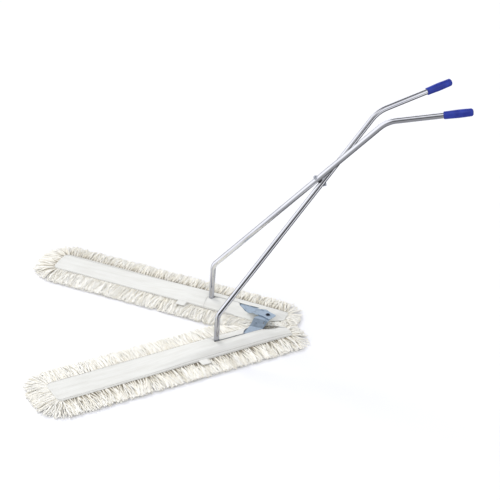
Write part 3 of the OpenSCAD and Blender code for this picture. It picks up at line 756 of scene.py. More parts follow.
@dataclass(frozen=True)
class Strand:
    """How a strand of yarn lies, in shares of its length, and how strands bunch into tufts."""

    points: int = 7
    sizes: Span = (0.88, 1.04)
    wave: float = 5.5
    fall: float = 1.6
    hump_end: float = 1.15
    hump_gain: float = 4.0
    tuft_detail: float = 1.0
    tuft_drift: float = 14.0
    tuft_pull: float = -0.8

    def tree(self) -> Tree:
        """Tree that grows strands from rooted points with an aim and a reach.

        Returns:
            The tree. Its base mesh is an edge chain with the attributes aim and reach.
        """
        sizes = ("Spacing", "Radius", "Puff", "End Height", "Curl")
        tufts = ("Tuft Turn", "Loose Turn", "Tuft Scale", "Tuft Pitch", "Painted Tuft Shade")
        tree = Tree("yarn_strands", *sizes, *tufts, "Painted Root Lift", "Seed")
        points = self.rooted(tree)
        line = tree.socket("GeometryNodeCurvePrimitiveLine", {"End": (0.0, 0.0, 1.0)})
        line = tree.socket("GeometryNodeResampleCurve", {"Curve": line, "Count": self.points})
        planted = tree.socket("GeometryNodeInstanceOnPoints", {"Points": points, "Instance": line})
        strands = tree.socket("GeometryNodeRealizeInstances", {"Geometry": planted})
        strands = tree.store(strands, "along", tree.socket("GeometryNodeSplineParameter", {}, "Factor"))
        t = tree.attribute("along")
        root = tree.attribute("root", "FLOAT_VECTOR")
        aim = tree.turned(tree.attribute("aim", "FLOAT_VECTOR"), tree.attribute("turn"))
        length = tree.times(tree.attribute("reach"), tree.attribute("size"))
        out = tree.scaled(aim, tree.times(length, t))
        wave = tree.math("SINE", tree.plus(tree.times(t, self.wave), tree.attribute("phase")))
        curl = tree.scaled(tree.turned(aim, QUARTER), tree.times(tree.times(wave, t), tree.named("Curl")))
        height = tree.upward(root)
        # Painted shade: the stored height sets how far the yarn's colour darkens; the gaps between tufts
        # lower it and each stretch's lift raises it.
        lit = tree.plus(tree.plus(height, tree.attribute("depth")), tree.named("Painted Root Lift"))
        strands = tree.store(strands, "height", lit)
        fall = tree.times(height, tree.math("POWER", tree.math("SUBTRACT", 1.0, t), self.fall))
        hump = tree.times(tree.times(t, tree.math("SUBTRACT", self.hump_end, t)), self.hump_gain)
        rise = tree.plus(fall, tree.times(hump, tree.attribute("puff")))
        rise = tree.plus(rise, tree.times(t, tree.attribute("raised")))
        rise = tree.math("MAXIMUM", rise, tree.named("Radius"))
        flat = tree.vector("ADD", tree.vector("MULTIPLY", root, LEVEL), out)
        end = tree.vector("ADD", flat, tree.vector("ADD", curl, tree.upright(rise)))
        strands = tree.socket("GeometryNodeSetPosition", {"Geometry": strands, "Position": end})
        tree.finish(tree.tube(strands))
        return tree

    def rooted(self, tree: Tree) -> Socket:
        """Points where strands are sewn in, gathered into tufts, with what is drawn for each.

        Args:
            tree: Tree of the strands.

        Returns:
            The points.
        """
        place = tree.socket("GeometryNodeInputPosition")
        feeds = {"Vector": place, "Scale": tree.named("Tuft Scale"), "Detail": self.tuft_detail}
        tuft = tree.socket("ShaderNodeTexNoise", feeds)
        lean = tree.times(tree.math("SUBTRACT", tuft, 0.5), tree.named("Tuft Turn"))
        loose = tree.times(tree.random(-1.0, 1.0, Draw.LOOSE), tree.named("Loose Turn"))
        beat = tree.math("DIVIDE", TURN, tree.named("Tuft Pitch"))
        run = tree.times(tree.socket("GeometryNodeSplineParameter", {}, "Length"), beat)
        bunch = tree.plus(run, tree.times(tuft, self.tuft_drift))
        pull = tree.times(tree.math("SINE", bunch), tree.math("DIVIDE", self.tuft_pull, beat))
        gathered = tree.vector("ADD", place, tree.scaled(tree.socket("GeometryNodeInputTangent"), pull))
        points = tree.store(tree.spaced("Spacing"), "root", gathered, "FLOAT_VECTOR")
        drawn = {
            "turn": tree.plus(lean, loose),
            # Painted shade: strands in the gaps between tufts get a lower height and so a darker colour,
            # those in a tuft's middle a paler one.
            "depth": tree.times(tree.math("COSINE", bunch), tree.named("Painted Tuft Shade")),
            "tone": tree.random(0.0, 1.0, Draw.TONE),
            "puff": tree.times(tree.random(0.0, 1.0, Draw.PUFF), tree.named("Puff")),
            "size": tree.random(*self.sizes, Draw.SIZE),
            "raised": tree.times(tree.random(0.0, 1.0, Draw.RAISED), tree.named("End Height")),
            "phase": tree.random(0.0, TURN, Draw.PHASE),
        }
        for name, value in drawn.items():
            points = tree.store(points, name, value)
        return points


def stitch_tree() -> Tree:
    """Tree that lays stitches along a chain of edges.

    Returns:
        The tree. Its base mesh is an edge chain on the cloth.
    """
    tree = Tree("stitches", "Pitch", "Stitch", "Radius")
    tangent = tree.socket("GeometryNodeInputTangent")
    points = tree.store(tree.spaced("Pitch"), "run", tangent, "FLOAT_VECTOR")
    half = tree.times(tree.named("Stitch"), 0.5)
    feeds = {"Start": tree.upright(tree.times(half, -1.0)), "End": tree.upright(half)}
    stitch = tree.tube(tree.socket("GeometryNodeCurvePrimitiveLine", feeds))
    run = tree.attribute("run", "FLOAT_VECTOR")
    turn = tree.socket("FunctionNodeAlignEulerToVector", {"Vector": run}, axis="Z")
    feeds = {"Points": points, "Instance": stitch, "Rotation": turn}
    tree.finish(tree.socket("GeometryNodeInstanceOnPoints", feeds))
    return tree


@dataclass(frozen=True)
class Root:
    """Place on the cover's edge where yarn is sewn in, on the wing's own axes.

    Attributes:
        s: Distance along the wing from the apex rivet.
        o: Distance outward from the apex rivet.
        aim: Direction in which the yarn lies.
        reach: Length of the yarn.
    """

    s: float
    o: float
    aim: Span
    reach: float


@dataclass(frozen=True)
class WingForm:
    """Sizes of one wing, in metres, and places on its own axes.

    In its methods, s is a distance along the wing and o a distance outward, both from the apex rivet.
    """

    side: Side
    apex_x: float
    half_spread: float = math.radians(26.0)
    closed_half: float = math.radians(20.0)
    open_half: float = math.radians(34.0)
    backing_length: float = 1.048
    backing_width: float = 0.128
    wing_offset: float = 0.055
    apex_overhang: float = 0.056
    apex_radius: float = 0.014
    tip_radius: float = 0.022
    edge_z: float = 0.0174
    crown_z: float = 0.04345
    crown_half: float = 0.026
    crown_round: float = 0.3
    crown_fade: float = 0.34
    apex_crown_z: float = 0.033
    apex_lift: float = 0.014
    apex_slope: float = 0.050
    tip_crown_rise: float = 0.002
    spine_start: float = 0.078
    spine_end: float = 0.310
    stem_s: float = 0.270
    stem_o: float = 0.045
    tube_r: float = 0.011
    fringe_length: float = 0.088
    mitre_fringe: float = 0.013
    plane_gap: float = 0.0015

    @property
    def half_backing(self) -> float:
        """Half the width of the backing."""
        return self.backing_width / 2.0

    @property
    def tip_s(self) -> float:
        """Outer end of the backing."""
        return self.backing_length - self.apex_overhang

    @property
    def apex_s(self) -> float:
        """Apex end of the backing."""
        return -self.apex_overhang

    @property
    def outer_o(self) -> float:
        """Outer edge of the backing."""
        return self.wing_offset + self.half_backing

    @property
    def inner_o(self) -> float:
        """Inner edge of the backing."""
        return self.wing_offset - self.half_backing

    @property
    def mitre_s(self) -> float:
        """Place where the inner edge turns along the mitre."""
        return (self.plane_gap + self.mitre_fringe - self.inner_o) / math.tan(self.closed_half)

    def turn(self, s: float, o: float) -> Vector:
        """Direction of the wing's own axes in the frame."""
        c, d = math.cos(self.half_spread), math.sin(self.half_spread)
        return Vector((-s * c + o * d, self.side.mirror * (-s * d - o * c), 0.0))

    def place(self, s: float, o: float, z: float) -> Vector:
        """Point of the wing's own axes in the frame."""
        c, d = math.cos(self.half_spread), math.sin(self.half_spread)
        return Vector((self.apex_x - s * c + o * d, self.side.mirror * (-s * d - o * c), z))

    def trim_o(self, s: float) -> float:
        """Least outward place that keeps the wing off the other one."""
        return self.plane_gap - s * math.tan(self.closed_half if s > 0.0 else self.open_half)

    def plane_room(self, s: float, o: float) -> float:
        """Distance from a place to the plane between the wings as they stand."""
        return o * math.cos(self.half_spread) + s * math.sin(self.half_spread)

    def tip_inset(self, s: float) -> float:
        """How far the rounded outer end draws the edges in."""
        past = max(0.0, s - (self.tip_s - self.tip_radius))
        return self.tip_radius - math.sqrt(max(0.0, self.tip_radius**2 - past**2))

    def edge_in(self, s: float) -> float:
        """Inner edge of the backing at one place along the wing."""
        return max(self.inner_o + self.tip_inset(s), self.trim_o(s) + self.mitre_fringe)

    def edge_out(self, s: float) -> float:
        """Outer edge of the backing at one place along the wing.

        Args:
            s: Place along the wing.

        Returns:
            Its outward place.
        """
        past = max(0.0, self.apex_s + self.apex_radius - s)
        corner = self.apex_radius - math.sqrt(max(0.0, self.apex_radius**2 - past**2))
        return self.outer_o - self.tip_inset(s) - corner

    def crown_at(self, s: float) -> float:
        """Height of the cloth's underside on the wing's centre line.

        Args:
            s: Place along the wing.

        Returns:
            The height.
        """
        if s > self.spine_end:
            fade = ease((s - self.spine_end) / self.crown_fade)
            return mix(self.crown_z, self.edge_z + self.tip_crown_rise, fade)
        rise = ease((s - self.apex_s) / (self.spine_start - self.apex_s))
        return mix(self.apex_crown_z, self.crown_z, rise)

    def cloth_z(self, s: float, o: float) -> float:
        """Height of the cloth's underside.

        Args:
            s: Place along the wing.
            o: Outward place.

        Returns:
            The height.
        """
        rim = min(o - self.edge_in(s), self.edge_out(s) - o)
        share = clamp(rim / (self.half_backing - self.crown_half))
        share *= clamp((s - self.apex_s + self.apex_lift) / self.apex_slope)
        soft = (1.0 - self.crown_round) * share + self.crown_round * share * (2.0 - share)
        return mix(self.edge_z, self.crown_at(s), soft)


@dataclass(frozen=True)
class Slit:
    """How the two lips of one cover's slit lie.

    Attributes:
        gap: Width between the lips on the stem's side of the bracket.
        heel: Width between the lips at the stem.
        mouth: Greatest width between the lips at the apex side of the bracket, 0 where they are sewn up.
        drop: How far the inner lip sags.
        sag: How far the outer lip sags at the mouth.
        roll: How far the outer lip rises.
    """

    gap: float
    heel: float
    mouth: float
    drop: float
    sag: float
    roll: float


SLITS = {
    Side.LEFT: Slit(gap=0.006, heel=0.006, mouth=0.034, drop=0.0002, sag=0.007, roll=0.0016),
    Side.RIGHT: Slit(gap=0.0005, heel=0.005, mouth=0.0, drop=0.0, sag=0.0, roll=0.0),
}


@dataclass(frozen=True)
class Tag:
    """Place of a folded blank tag.

    Attributes:
        s: Place of its middle along the wing.
        outer: Whether it hangs from the outer edge.
    """

    s: float
    outer: bool


TAGS = {Side.LEFT: Tag(0.371, True), Side.RIGHT: Tag(0.377, False)}


@dataclass
class CanvasCover:
    """Woven cover of one wing: a crowned cloth with a slit for the stem and the bracket."""

    form: WingForm
    finish: Material
    thread: Material
    stitches: Tree
    cloth_t: float = 0.0014
    cloth_merge: float = 0.0002
    step: float = 0.0085
    slit_step: float = 0.004
    columns: int = 12
    tip_steps: int = 9
    flap_end: float = -0.0555
    slit_end: float = 0.2845
    stem_room: float = 0.0005
    lip_apex_o: float = 0.0615
    mouth: Span = (-0.046, 0.066)
    notch: Span = (0.060, 0.146)
    notch_ease: float = 0.006
    notch_least_o: float = 0.017
    strap_place: Span = (0.052, -0.020)
    strap_slope: float = 0.6875
    heel: Span = (0.232, 0.262)
    wrinkle: float = 0.0011
    wrinkle_lift: float = 0.4
    fold: Place = (5.0, 34.0, 3.0)
    fold_share: float = 1.6
    ripple: Place = (24.0, 60.0, 9.0)
    ripple_share: float = 0.5
    lip_width: float = 0.010
    sag_width: float = 0.034
    seam_s: float = 0.290
    seam_rise: float = 0.0016
    seam_width: float = 0.005
    seam_fade: float = 0.012
    seam_steps: int = 12
    stitch_inset: float = 0.0025
    stitch_pitch: float = 0.0042
    stitch_length: float = 0.0032
    stitch_r: float = 0.0005
    hem_width: float = 0.010
    hem_rise: float = 0.0008
    hem_ease: float = 0.0025
    tag_width: float = 0.042
    tag_reach: float = 0.033
    tag_tuck: float = 0.003
    tag_lift: float = 0.0050
    tag_fall: float = 0.0030
    tag_curl: float = 0.0007
    tag_t: float = 0.0008
    tag_rows: int = 8
    tag_columns: int = 6

    @property
    def slit(self) -> Slit:
        """How this cover's lips lie."""
        return SLITS[self.form.side]

    def divide(self, s: float) -> float:
        """Straight line of the outer lip, and of the join of the halves past the slit.

        Args:
            s: Place along the wing.

        Returns:
            Its outward place.
        """
        form = self.form
        beside = form.stem_o + form.tube_r + self.stem_room
        return mix(self.lip_apex_o, beside, clamp((s - form.apex_s) / (form.stem_s - form.apex_s)))

    def lens(self, s: float) -> float:
        """How far the slit's mouth is open at one place along the wing, from 0 to 1."""
        apex, root = self.mouth
        return math.sin(math.pi * clamp((s - apex) / (root - apex)))

    def lip(self, s: float, outer: bool) -> float:
        """Edge of the slit on one side.

        Args:
            s: Place along the wing.
            outer: Whether it is the outer lip.

        Returns:
            Its outward place.
        """
        form = self.form
        line = self.divide(s)
        if outer or s >= self.slit_end:
            return line
        start, stop = self.notch
        run = mix(self.slit.gap, self.slit.heel, ease((s - self.heel[0]) / (self.heel[1] - self.heel[0])))
        gap = self.slit.mouth * self.lens(s) if s < start else run
        strap = self.strap_place[1] + self.strap_slope * (s - self.strap_place[0])
        cut = ease((s - start) / self.notch_ease) * ease((stop - s) / self.notch_ease)
        line = mix(line - gap, max(self.notch_least_o, strap), cut)
        ring = form.tube_r + self.stem_room
        away = abs(s - form.stem_s)
        if away < ring:
            line = min(line, form.stem_o - math.sqrt(ring**2 - away**2))
        return line

    def waver(self, s: float, o: float, pattern: Place) -> float:
        """Noise over the cloth; a pattern is its repeats along and across, and its layer."""
        along, across, layer = pattern
        return noise.noise(Vector((s * along, o * across, layer + self.form.side.mirror)))

    def height(self, s: float, o: float, inner: bool) -> float:
        """Height of the cloth with its wrinkles, lips and seam.

        Args:
            s: Place along the wing.
            o: Outward place.
            inner: Whether the place is on the inner half.

        Returns:
            Height of the underside.
        """
        form = self.form
        z = form.cloth_z(s, o)
        fold = abs(self.waver(s, o, self.fold)) * self.fold_share
        z += self.wrinkle * (fold + self.ripple_share * self.waver(s, o, self.ripple) + self.wrinkle_lift)
        rim = min(form.edge_out(s) - o, o - form.edge_in(s), form.tip_s - s)
        z += self.hem_rise * ease((self.hem_width - rim) / self.hem_ease)
        if s < self.slit_end:
            away = abs(o - self.lip(s, not inner))
            near = clamp(1.0 - away / self.lip_width)
            z += -self.slit.drop * near if inner else self.slit.roll * ease(near)
            sag = clamp(1.0 - away / self.sag_width)
            z -= 0.0 if inner else self.slit.sag * self.lens(s) * ease(sag)
        if inner:
            fade = ease((self.divide(s) - o) / self.seam_fade)
            z += self.seam_rise * fade * ease(1.0 - abs(s - self.seam_s) / self.seam_width)
        return z

    def stations(self) -> list[float]:
        """Places of the cloth's rows along the wing.

        Returns:
            The places, from the apex to the outer end.
        """
        form = self.form
        tip = form.tip_s - form.tip_radius
        marks = [form.apex_s, self.flap_end, *self.notch, self.slit_end, tip]
        rows: list[float] = []
        for start, stop in zip(marks, marks[1:]):
            step = self.step if start >= self.slit_end else self.slit_step
            count = max(1, round((stop - start) / step))
            rows.extend(mix(start, stop, i / count) for i in range(count))
        rows.extend(tip + form.tip_radius * math.sin(angle) for angle in quarter(self.tip_steps))
        return rows

    def cloth(self) -> Object:
        """Models the cloth as two halves that join past the slit.

        Returns:
            The cloth's piece.
        """
        form = self.form
        shell = Shell(woven=True)
        for inner in (True, False):
            rows = []
            for s in self.stations():
                if inner and s < self.flap_end:
                    continue
                slit = self.lip(s, not inner)
                low, high = (form.edge_in(s), slit) if inner else (slit, form.edge_out(s))
                line = [mix(min(low, high), high, share) for share in shares(self.columns)]
                rows.append([(form.place(s, o, self.height(s, o, inner)), (s, o)) for o in line])
            shell.sheet(rows, form.side is Side.RIGHT)
        made = piece(form.side.node("canvas_cover"), shell.made("cloth", self.finish, self.cloth_merge))
        thicken(made, self.cloth_t, 1.0)
        fine = made.modifiers.new("smooth", "SUBSURF")
        fine.levels = fine.render_levels = 1
        return made

    def tags(self) -> Object:
        """Folded blank tag caught in an edge seam.

        Returns:
            The tag's piece.
        """
        form, tag = self.form, TAGS[self.form.side]
        sign = 1.0 if tag.outer else -1.0
        edge = form.edge_out(tag.s) if tag.outer else form.edge_in(tag.s)
        z = self.height(tag.s, edge - sign * self.tag_tuck, not tag.outer)
        rows = []
        for share in shares(self.tag_rows):
            o = edge + sign * mix(-self.tag_tuck, self.tag_reach, share)
            rise = self.cloth_t + self.tag_lift * ease(share) - self.tag_fall * share**2
            line = []
            for across in shares(self.tag_columns):
                s = tag.s + self.tag_width * (across - 0.5)
                curl = self.tag_curl * share * math.cos(TURN * across)
                flat = (self.tag_reach * share, self.tag_width * across)
                line.append((form.place(s, o, z + rise + curl), flat))
            rows.append(line)
        shell = Shell(woven=True)
        shell.sheet(rows, (form.side is Side.LEFT) is tag.outer)
        made = piece(form.side.node("blank_tags"), shell.made("tags", self.finish))
        thicken(made, self.tag_t, 0.0)
        return made

    def on_cloth(self, s: float, o: float, inner: bool) -> Vector:
        """Point on top of the cloth."""
        return self.form.place(s, o, self.height(s, o, inner) + self.cloth_t)

    def seams(self) -> Object:
        """Rows of stitches along the edges, the slit and the flap's seam.

        Returns:
            The stitches' piece.
        """
        form = self.form
        inset = self.stitch_inset
        rows = self.stations()
        straight = [s for s in rows if form.apex_s + inset < s < form.tip_s - inset]
        outer = [self.on_cloth(s, form.edge_out(s) - inset, False) for s in straight]
        hem = [self.on_cloth(s, form.edge_out(s) - self.hem_width, False) for s in straight]
        inner = [self.on_cloth(s, form.edge_in(s) + inset, True) for s in straight if s > self.notch[1]]
        open_s = form.apex_s if self.slit.mouth > 0.0 else self.notch[1]
        lip = [self.on_cloth(s, self.divide(s) + inset, False) for s in rows if open_s < s < self.slit_end]
        low, high = form.edge_in(self.seam_s) + inset, form.stem_o - inset
        across = [mix(low, high, share) for share in shares(self.seam_steps)]
        seam = [self.on_cloth(self.seam_s - self.seam_width, o, True) for o in across]
        values = {
            "Pitch": self.stitch_pitch,
            "Stitch": self.stitch_length,
            "Radius": self.stitch_r,
            "Material": self.thread,
        }
        base = chain_mesh("seams", [outer, hem, inner, lip, seam])
        return self.stitches.grow(form.side.node("seam_stitches"), base, values)


@dataclass
class YarnFringe:
    """Cut yarn sewn round the edge of one cover, in several layers."""

    form: WingForm
    finish: Material
    strands: Tree
    root_inset: float = 0.004
    layers: tuple[float, ...] = (0.0155, 0.0120, 0.0085, 0.0050)
    layer_shares: tuple[float, ...] = (0.94, 0.98, 1.0, 1.0)
    spacing: float = 0.0027
    tip_spacing: float = 0.0016
    yarn_r: float = 0.0018
    puff: float = 0.0100
    end_height: float = 0.0095
    tuft_turn: float = 1.0
    loose_turn: float = 0.16
    curl: float = 0.005
    tuft_scale: float = 38.0
    tuft_pitch: float = 0.0125
    # Painted shade between tufts, stronger on the near outer fringe.
    painted_tuft_shade: float = 0.0060
    near_painted_tuft_shade: float = 0.0110
    squeeze_lean: float = 0.9
    mitre_leans: Span = (0.7, -0.9)
    mitre_reach: float = 0.040
    apex_splay: Span = (-0.15, 0.25)
    apex_turn: Span = (165.0, 90.0)
    apex_reach: float = 0.056
    # Painted light: how far each stretch's painted root shade is lifted, so that its roots read paler.
    apex_painted_lift: float = 0.014
    inner_painted_lift: float = 0.014
    tip_painted_lift: float = 0.022
    far_tip_painted_lift: float = 0.005
    near_painted_lift: float = 0.0050
    far_painted_lift: float = 0.0045
    edge_steps: int = 60
    corner_steps: int = 12
    mitre_steps: int = 24
    apex_steps: int = 12
    turn_steps: int = 8

    @property
    def reach(self) -> float:
        """Length of the yarn from its root inside the edge."""
        return self.form.fringe_length + self.root_inset

    def painted_root_lift(self, name: str) -> float:
        """How far the painted root shade of a stretch is lifted, so that its roots are painted paler.

        Args:
            name: Name of the stretch.

        Returns:
            The painted lift, as a height in metres.
        """
        far = self.form.side is Side.RIGHT
        root_lifts = {
            "apex_fringe": self.apex_painted_lift,
            "outer_fringe": self.far_painted_lift if far else self.near_painted_lift,
            "end_fringe": self.far_tip_painted_lift if far else self.tip_painted_lift,
        }
        return root_lifts.get(name, self.inner_painted_lift)

    def side_roots(self, outer: bool) -> list[Root]:
        """Roots along one long edge.

        Args:
            outer: Whether it is the outer edge.

        Returns:
            The roots, from the apex to the outer end.
        """
        form = self.form
        sign = 1.0 if outer else -1.0
        start = form.apex_s + form.apex_radius if outer else form.mitre_s
        stop = form.tip_s - form.tip_radius
        o = form.outer_o - self.root_inset if outer else form.inner_o + self.root_inset
        roots = []
        for share in shares(self.edge_steps):
            s = mix(start, stop, share)
            room = form.fringe_length if outer else form.plane_room(s, o)
            squeeze = clamp(1.0 - room / self.reach)
            aim = Vector((self.squeeze_lean * squeeze, sign)).normalized()
            roots.append(Root(s, o, tuple(aim), mix(self.reach, self.mitre_reach, squeeze)))
        return roots

    def end_roots(self) -> list[Root]:
        """Roots round the outer end, from the outer to the inner edge.

        Returns:
            The roots.
        """
        form = self.form
        r = form.tip_radius
        roots = []
        for centre, start in ((form.outer_o - r, QUARTER), (form.inner_o + r, 0.0)):
            for angle in quarter(self.corner_steps):
                aim = (math.cos(start - angle), math.sin(start - angle))
                s = form.tip_s - r + (r - self.root_inset) * aim[0]
                o = centre + (r - self.root_inset) * aim[1]
                roots.append(Root(s, o, aim, self.reach))
        return roots

    def apex_roots(self) -> list[Root]:
        """Roots from the inner edge along the mitre and round the apex end.

        Returns:
            The roots.
        """
        form = self.form
        roots = []
        for share in shares(self.mitre_steps):
            s = mix(form.mitre_s, form.apex_s, share)
            aim = Vector((mix(*self.mitre_leans, share), -1.0)).normalized()
            roots.append(Root(s, form.trim_o(s) + form.mitre_fringe, tuple(aim), self.mitre_reach))
        low = form.trim_o(form.apex_s) + form.mitre_fringe
        corner = form.outer_o - form.apex_radius
        for share in shares(self.apex_steps):
            aim = Vector((-1.0, mix(*self.apex_splay, share))).normalized()
            reach = self.apex_reach + self.root_inset
            roots.append(Root(form.apex_s + self.root_inset, mix(low, corner, share), tuple(aim), reach))
        r = form.apex_radius - self.root_inset
        for share in shares(self.turn_steps):
            angle = math.radians(mix(*self.apex_turn, share))
            aim = (math.cos(angle), math.sin(angle))
            s = form.apex_s + form.apex_radius + r * aim[0]
            reach = mix(self.apex_reach, form.fringe_length, ease(share)) + self.root_inset
            roots.append(Root(s, corner + r * aim[1], aim, reach))
        return roots

    def grow(self, name: str, roots: Sequence[Root], seed: int) -> Object:
        """Grows the yarn of one stretch of edge.

        Args:
            name: Name of the stretch.
            roots: Roots along the stretch.
            seed: Seed of the stretch.

        Returns:
            The yarn's piece.
        """
        form = self.form
        base = chain_mesh(name, [[form.place(root.s, root.o, z) for root in roots] for z in self.layers])
        aims = [part for root in roots for part in form.turn(*root.aim)]
        aim = base.attributes.new("aim", "FLOAT_VECTOR", "POINT")
        aim.data.foreach_set("vector", aims * len(self.layers))
        lengths = [root.reach * share for share in self.layer_shares for root in roots]
        reach = base.attributes.new("reach", "FLOAT", "POINT")
        reach.data.foreach_set("value", lengths)
        near = name == "outer_fringe" and form.side is Side.LEFT
        values = {
            "Spacing": self.tip_spacing if name == "end_fringe" else self.spacing,
            "Radius": self.yarn_r,
            "Puff": self.puff,
            "End Height": self.end_height,
            "Curl": self.curl,
            "Tuft Turn": self.tuft_turn,
            "Loose Turn": self.loose_turn,
            "Tuft Scale": self.tuft_scale,
            "Tuft Pitch": self.tuft_pitch,
            "Painted Tuft Shade": self.near_painted_tuft_shade if near else self.painted_tuft_shade,
            "Painted Root Lift": self.painted_root_lift(name),
            "Seed": float(seed),
            "Material": self.finish,
        }
        return self.strands.grow(form.side.node(name), base, values)


@dataclass
class YarnPad:
    """Looped yarn under one frame, in rows across the wing."""

    form: WingForm
    finish: Material
    inset: float = 0.007
    low: float = 0.0001
    high: float = 0.0071
    quilting: float = 0.0016
    row_pitch: float = 0.012
    columns: int = 26
    merge: float = 0.0001
    fill: float = 0.7

    def outline(self, s: float) -> Span:
        """Inner and outer edge of the pad at one place along the wing."""
        low = max(self.form.edge_in(s), self.form.inner_o) + self.inset
        return low, self.form.edge_out(s) - self.inset

    def body(self) -> Object:
        """Models the pad as a quilted slab with soft edges.

        Returns:
            The pad's piece.
        """
        form = self.form
        start, stop = form.apex_s + self.inset, form.tip_s - self.inset
        count = round((stop - start) / (self.row_pitch / 2.0))
        middle = (self.low + self.high) / 2.0
        shell = Shell()
        for top in (True, False):
            rows = []
            for i, along in enumerate(shares(count)):
                s = mix(start, stop, along)
                line = []
                for j, share in enumerate(shares(self.columns)):
                    rim = min(i, count - i, j, self.columns - j) == 0
                    bulge = 0.5 + 0.5 * math.sin(math.pi * (i + 0.5)) * math.cos(math.pi * j)
                    z = self.high if top else mix(self.low, self.low + self.quilting, bulge)
                    line.append(form.place(s, mix(*self.outline(s), share), middle if rim else z))
                rows.append(line)
            shell.bands(shell.points(rows), top != (form.side is Side.LEFT))
        return piece(form.side.node("yarn_pad"), shell.made("pad", self.finish, self.merge))


def circle(centre: Vector, u: Vector, v: Vector, radius: float, sides: int) -> list[Vector]:
    """Points of a circle.

    Args:
        centre: Its centre.
        u: Direction of its first point.
        v: Direction a quarter turn on.
        radius: Its radius.
        sides: Number of points.

    Returns:
        The points.
    """
    angles = [TURN * j / sides for j in range(sides)]
    return [centre + (u * math.cos(a) + v * math.sin(a)) * radius for a in angles]


def bend(a: Vector, b: Vector, c: Vector, radius: float, count: int) -> list[Vector]:
    """Points of the arc that rounds a corner.

    Args:
        a: Point before the corner.
        b: The corner.
        c: Point after it.
        radius: Radius of the arc.
        count: Steps along it.

    Returns:
        Points from tangent to tangent.
    """
    before, after = (a - b).normalized(), (c - b).normalized()
    half = before.angle(after) / 2.0
    centre = b + (before + after).normalized() * (radius / math.sin(half))
    start = b + before * (radius / math.tan(half)) - centre
    turn = before.cross(after).normalized()
    angle = -(math.pi - 2.0 * half)
    return [centre + Matrix.Rotation(angle * i / count, 3, turn) @ start for i in range(count + 1)]


def crossings(path: Sequence[Vector]) -> list[tuple[Vector, Vector]]:
    """Two directions across a path at each of its points.

    Args:
        path: Points of the path.

    Returns:
        The pairs, which turn with the path and not about it.
    """
    normal = Vector((0.0, 1.0, 0.0))
    pairs = []
    for before, after in zip([path[0], *path], [*path[1:], path[-1]]):
        ahead = (after - before).normalized()
        normal = (normal - ahead * normal.dot(ahead)).normalized()
        pairs.append((normal, ahead.cross(normal)))
    return pairs


@dataclass
class Handle:
    """Bent chrome tube of one side with its grip."""

    side: Side
    foot: Vector
    chrome: Material
    blue: Material
    tube_r: float = 0.011
    tube_wall: float = 0.0015
    stem_bottom: float = 0.0076
    low_bend_z: float = 0.160
    low_bend_r: float = 0.048
    long_slope: float = math.radians(50.75)
    long_yaw: float = math.radians(22.5)
    long_length: float = 1.023
    top_bend_r: float = 0.120
    bend_steps: int = 20
    grip_slope: float = math.radians(16.5)
    grip_yaw: float = math.radians(17.5)
    grip_stretch: float = 0.322
    grip_length: float = 0.110
    grip_tip_wall: float = 0.005
    grip_radii: Place = (0.0148, 0.0160, 0.0150)
    grip_swell: float = 0.55
    grip_round: float = 0.009
    grip_lip: float = 0.0022
    grip_play: float = 0.0001
    grip_bore: float = 0.012
    grip_dimple: tuple[Span, ...] = ((0.42, 0.0), (0.34, 0.0007), (0.0, 0.001))
    lip_steps: int = 5
    swell_steps: int = 14
    round_steps: int = 8
    sides: int = 40

    def along(self, yaw: float, slope: float) -> Vector:
        """Direction of a stretch of the tube."""
        flat = math.cos(slope)
        return Vector((math.cos(yaw) * flat, self.side.mirror * math.sin(yaw) * flat, math.sin(slope)))

    def corners(self) -> list[Vector]:
        """Corner points of the tube's axis.

        Returns:
            The stem's foot, the two bends and the tube's end.
        """
        low = Vector((self.foot.x, self.foot.y, self.low_bend_z))
        high = low + self.along(self.long_yaw, self.long_slope) * self.long_length
        end = high + self.along(self.grip_yaw, self.grip_slope) * self.grip_stretch
        return [Vector((self.foot.x, self.foot.y, self.stem_bottom)), low, high, end]

    def tube(self) -> Object:
        """Sweeps the tube along its axis, with arcs at the bends.

        Returns:
            The tube's piece.
        """
        bottom, low, high, end = self.corners()
        path = [
            bottom,
            *bend(bottom, low, high, self.low_bend_r, self.bend_steps),
            *bend(low, high, end, self.top_bend_r, self.bend_steps),
            end,
        ]
        shell = Shell()
        stops = list(zip(path, crossings(path)))
        outside = [circle(p, u, v, self.tube_r, self.sides) for p, (u, v) in stops]
        inside = [circle(p, u, v, self.tube_r - self.tube_wall, self.sides) for p, (u, v) in stops]
        rings = shell.rings(outside + inside[::-1])
        shell.bands(rings + rings[:1])
        return piece(self.side.node("chrome_tube"), shell.closed("tube", self.chrome))

    def grip(self) -> Object:
        """Turns the grip on the tube's end.

        Returns:
            The grip's piece.
        """
        _, _, high, end = self.corners()
        axis = (end - high).normalized()
        start = end - axis * (self.grip_length - self.grip_tip_wall)
        u = axis.orthogonal().normalized()
        v = axis.cross(u)
        shell = Shell()
        circles = [circle(start + axis * place, u, v, r, self.sides) for r, place in self.grip_profile()]
        shell.bands(shell.rings(circles))
        return piece(self.side.node("blue_grip"), shell.closed("grip", self.blue))

    def grip_profile(self) -> list[Span]:
        """Radius and place of the grip's outline, from its bore to its tip.

        Returns:
            The pairs.
        """
        mouth, body, tip = self.grip_radii
        lip, r, end = self.grip_lip, self.grip_round, self.grip_length
        bore = self.tube_r + self.grip_play
        outline = [(bore, self.grip_bore), (bore, 0.0)]
        for a in quarter(self.lip_steps):
            outline.append((mouth - lip + lip * math.sin(a), lip - lip * math.cos(a)))
        for share in shares(self.swell_steps)[1:]:
            rising = share < self.grip_swell
            swell = share / self.grip_swell if rising else (1.0 - share) / (1.0 - self.grip_swell)
            outline.append((mix(mouth if rising else tip, body, ease(swell)), mix(lip, end - r, share)))
        for a in quarter(self.round_steps):
            outline.append((tip - r + r * math.cos(a), end - r + r * math.sin(a)))
        return outline + [(tip * share, end - depth) for share, depth in self.grip_dimple]


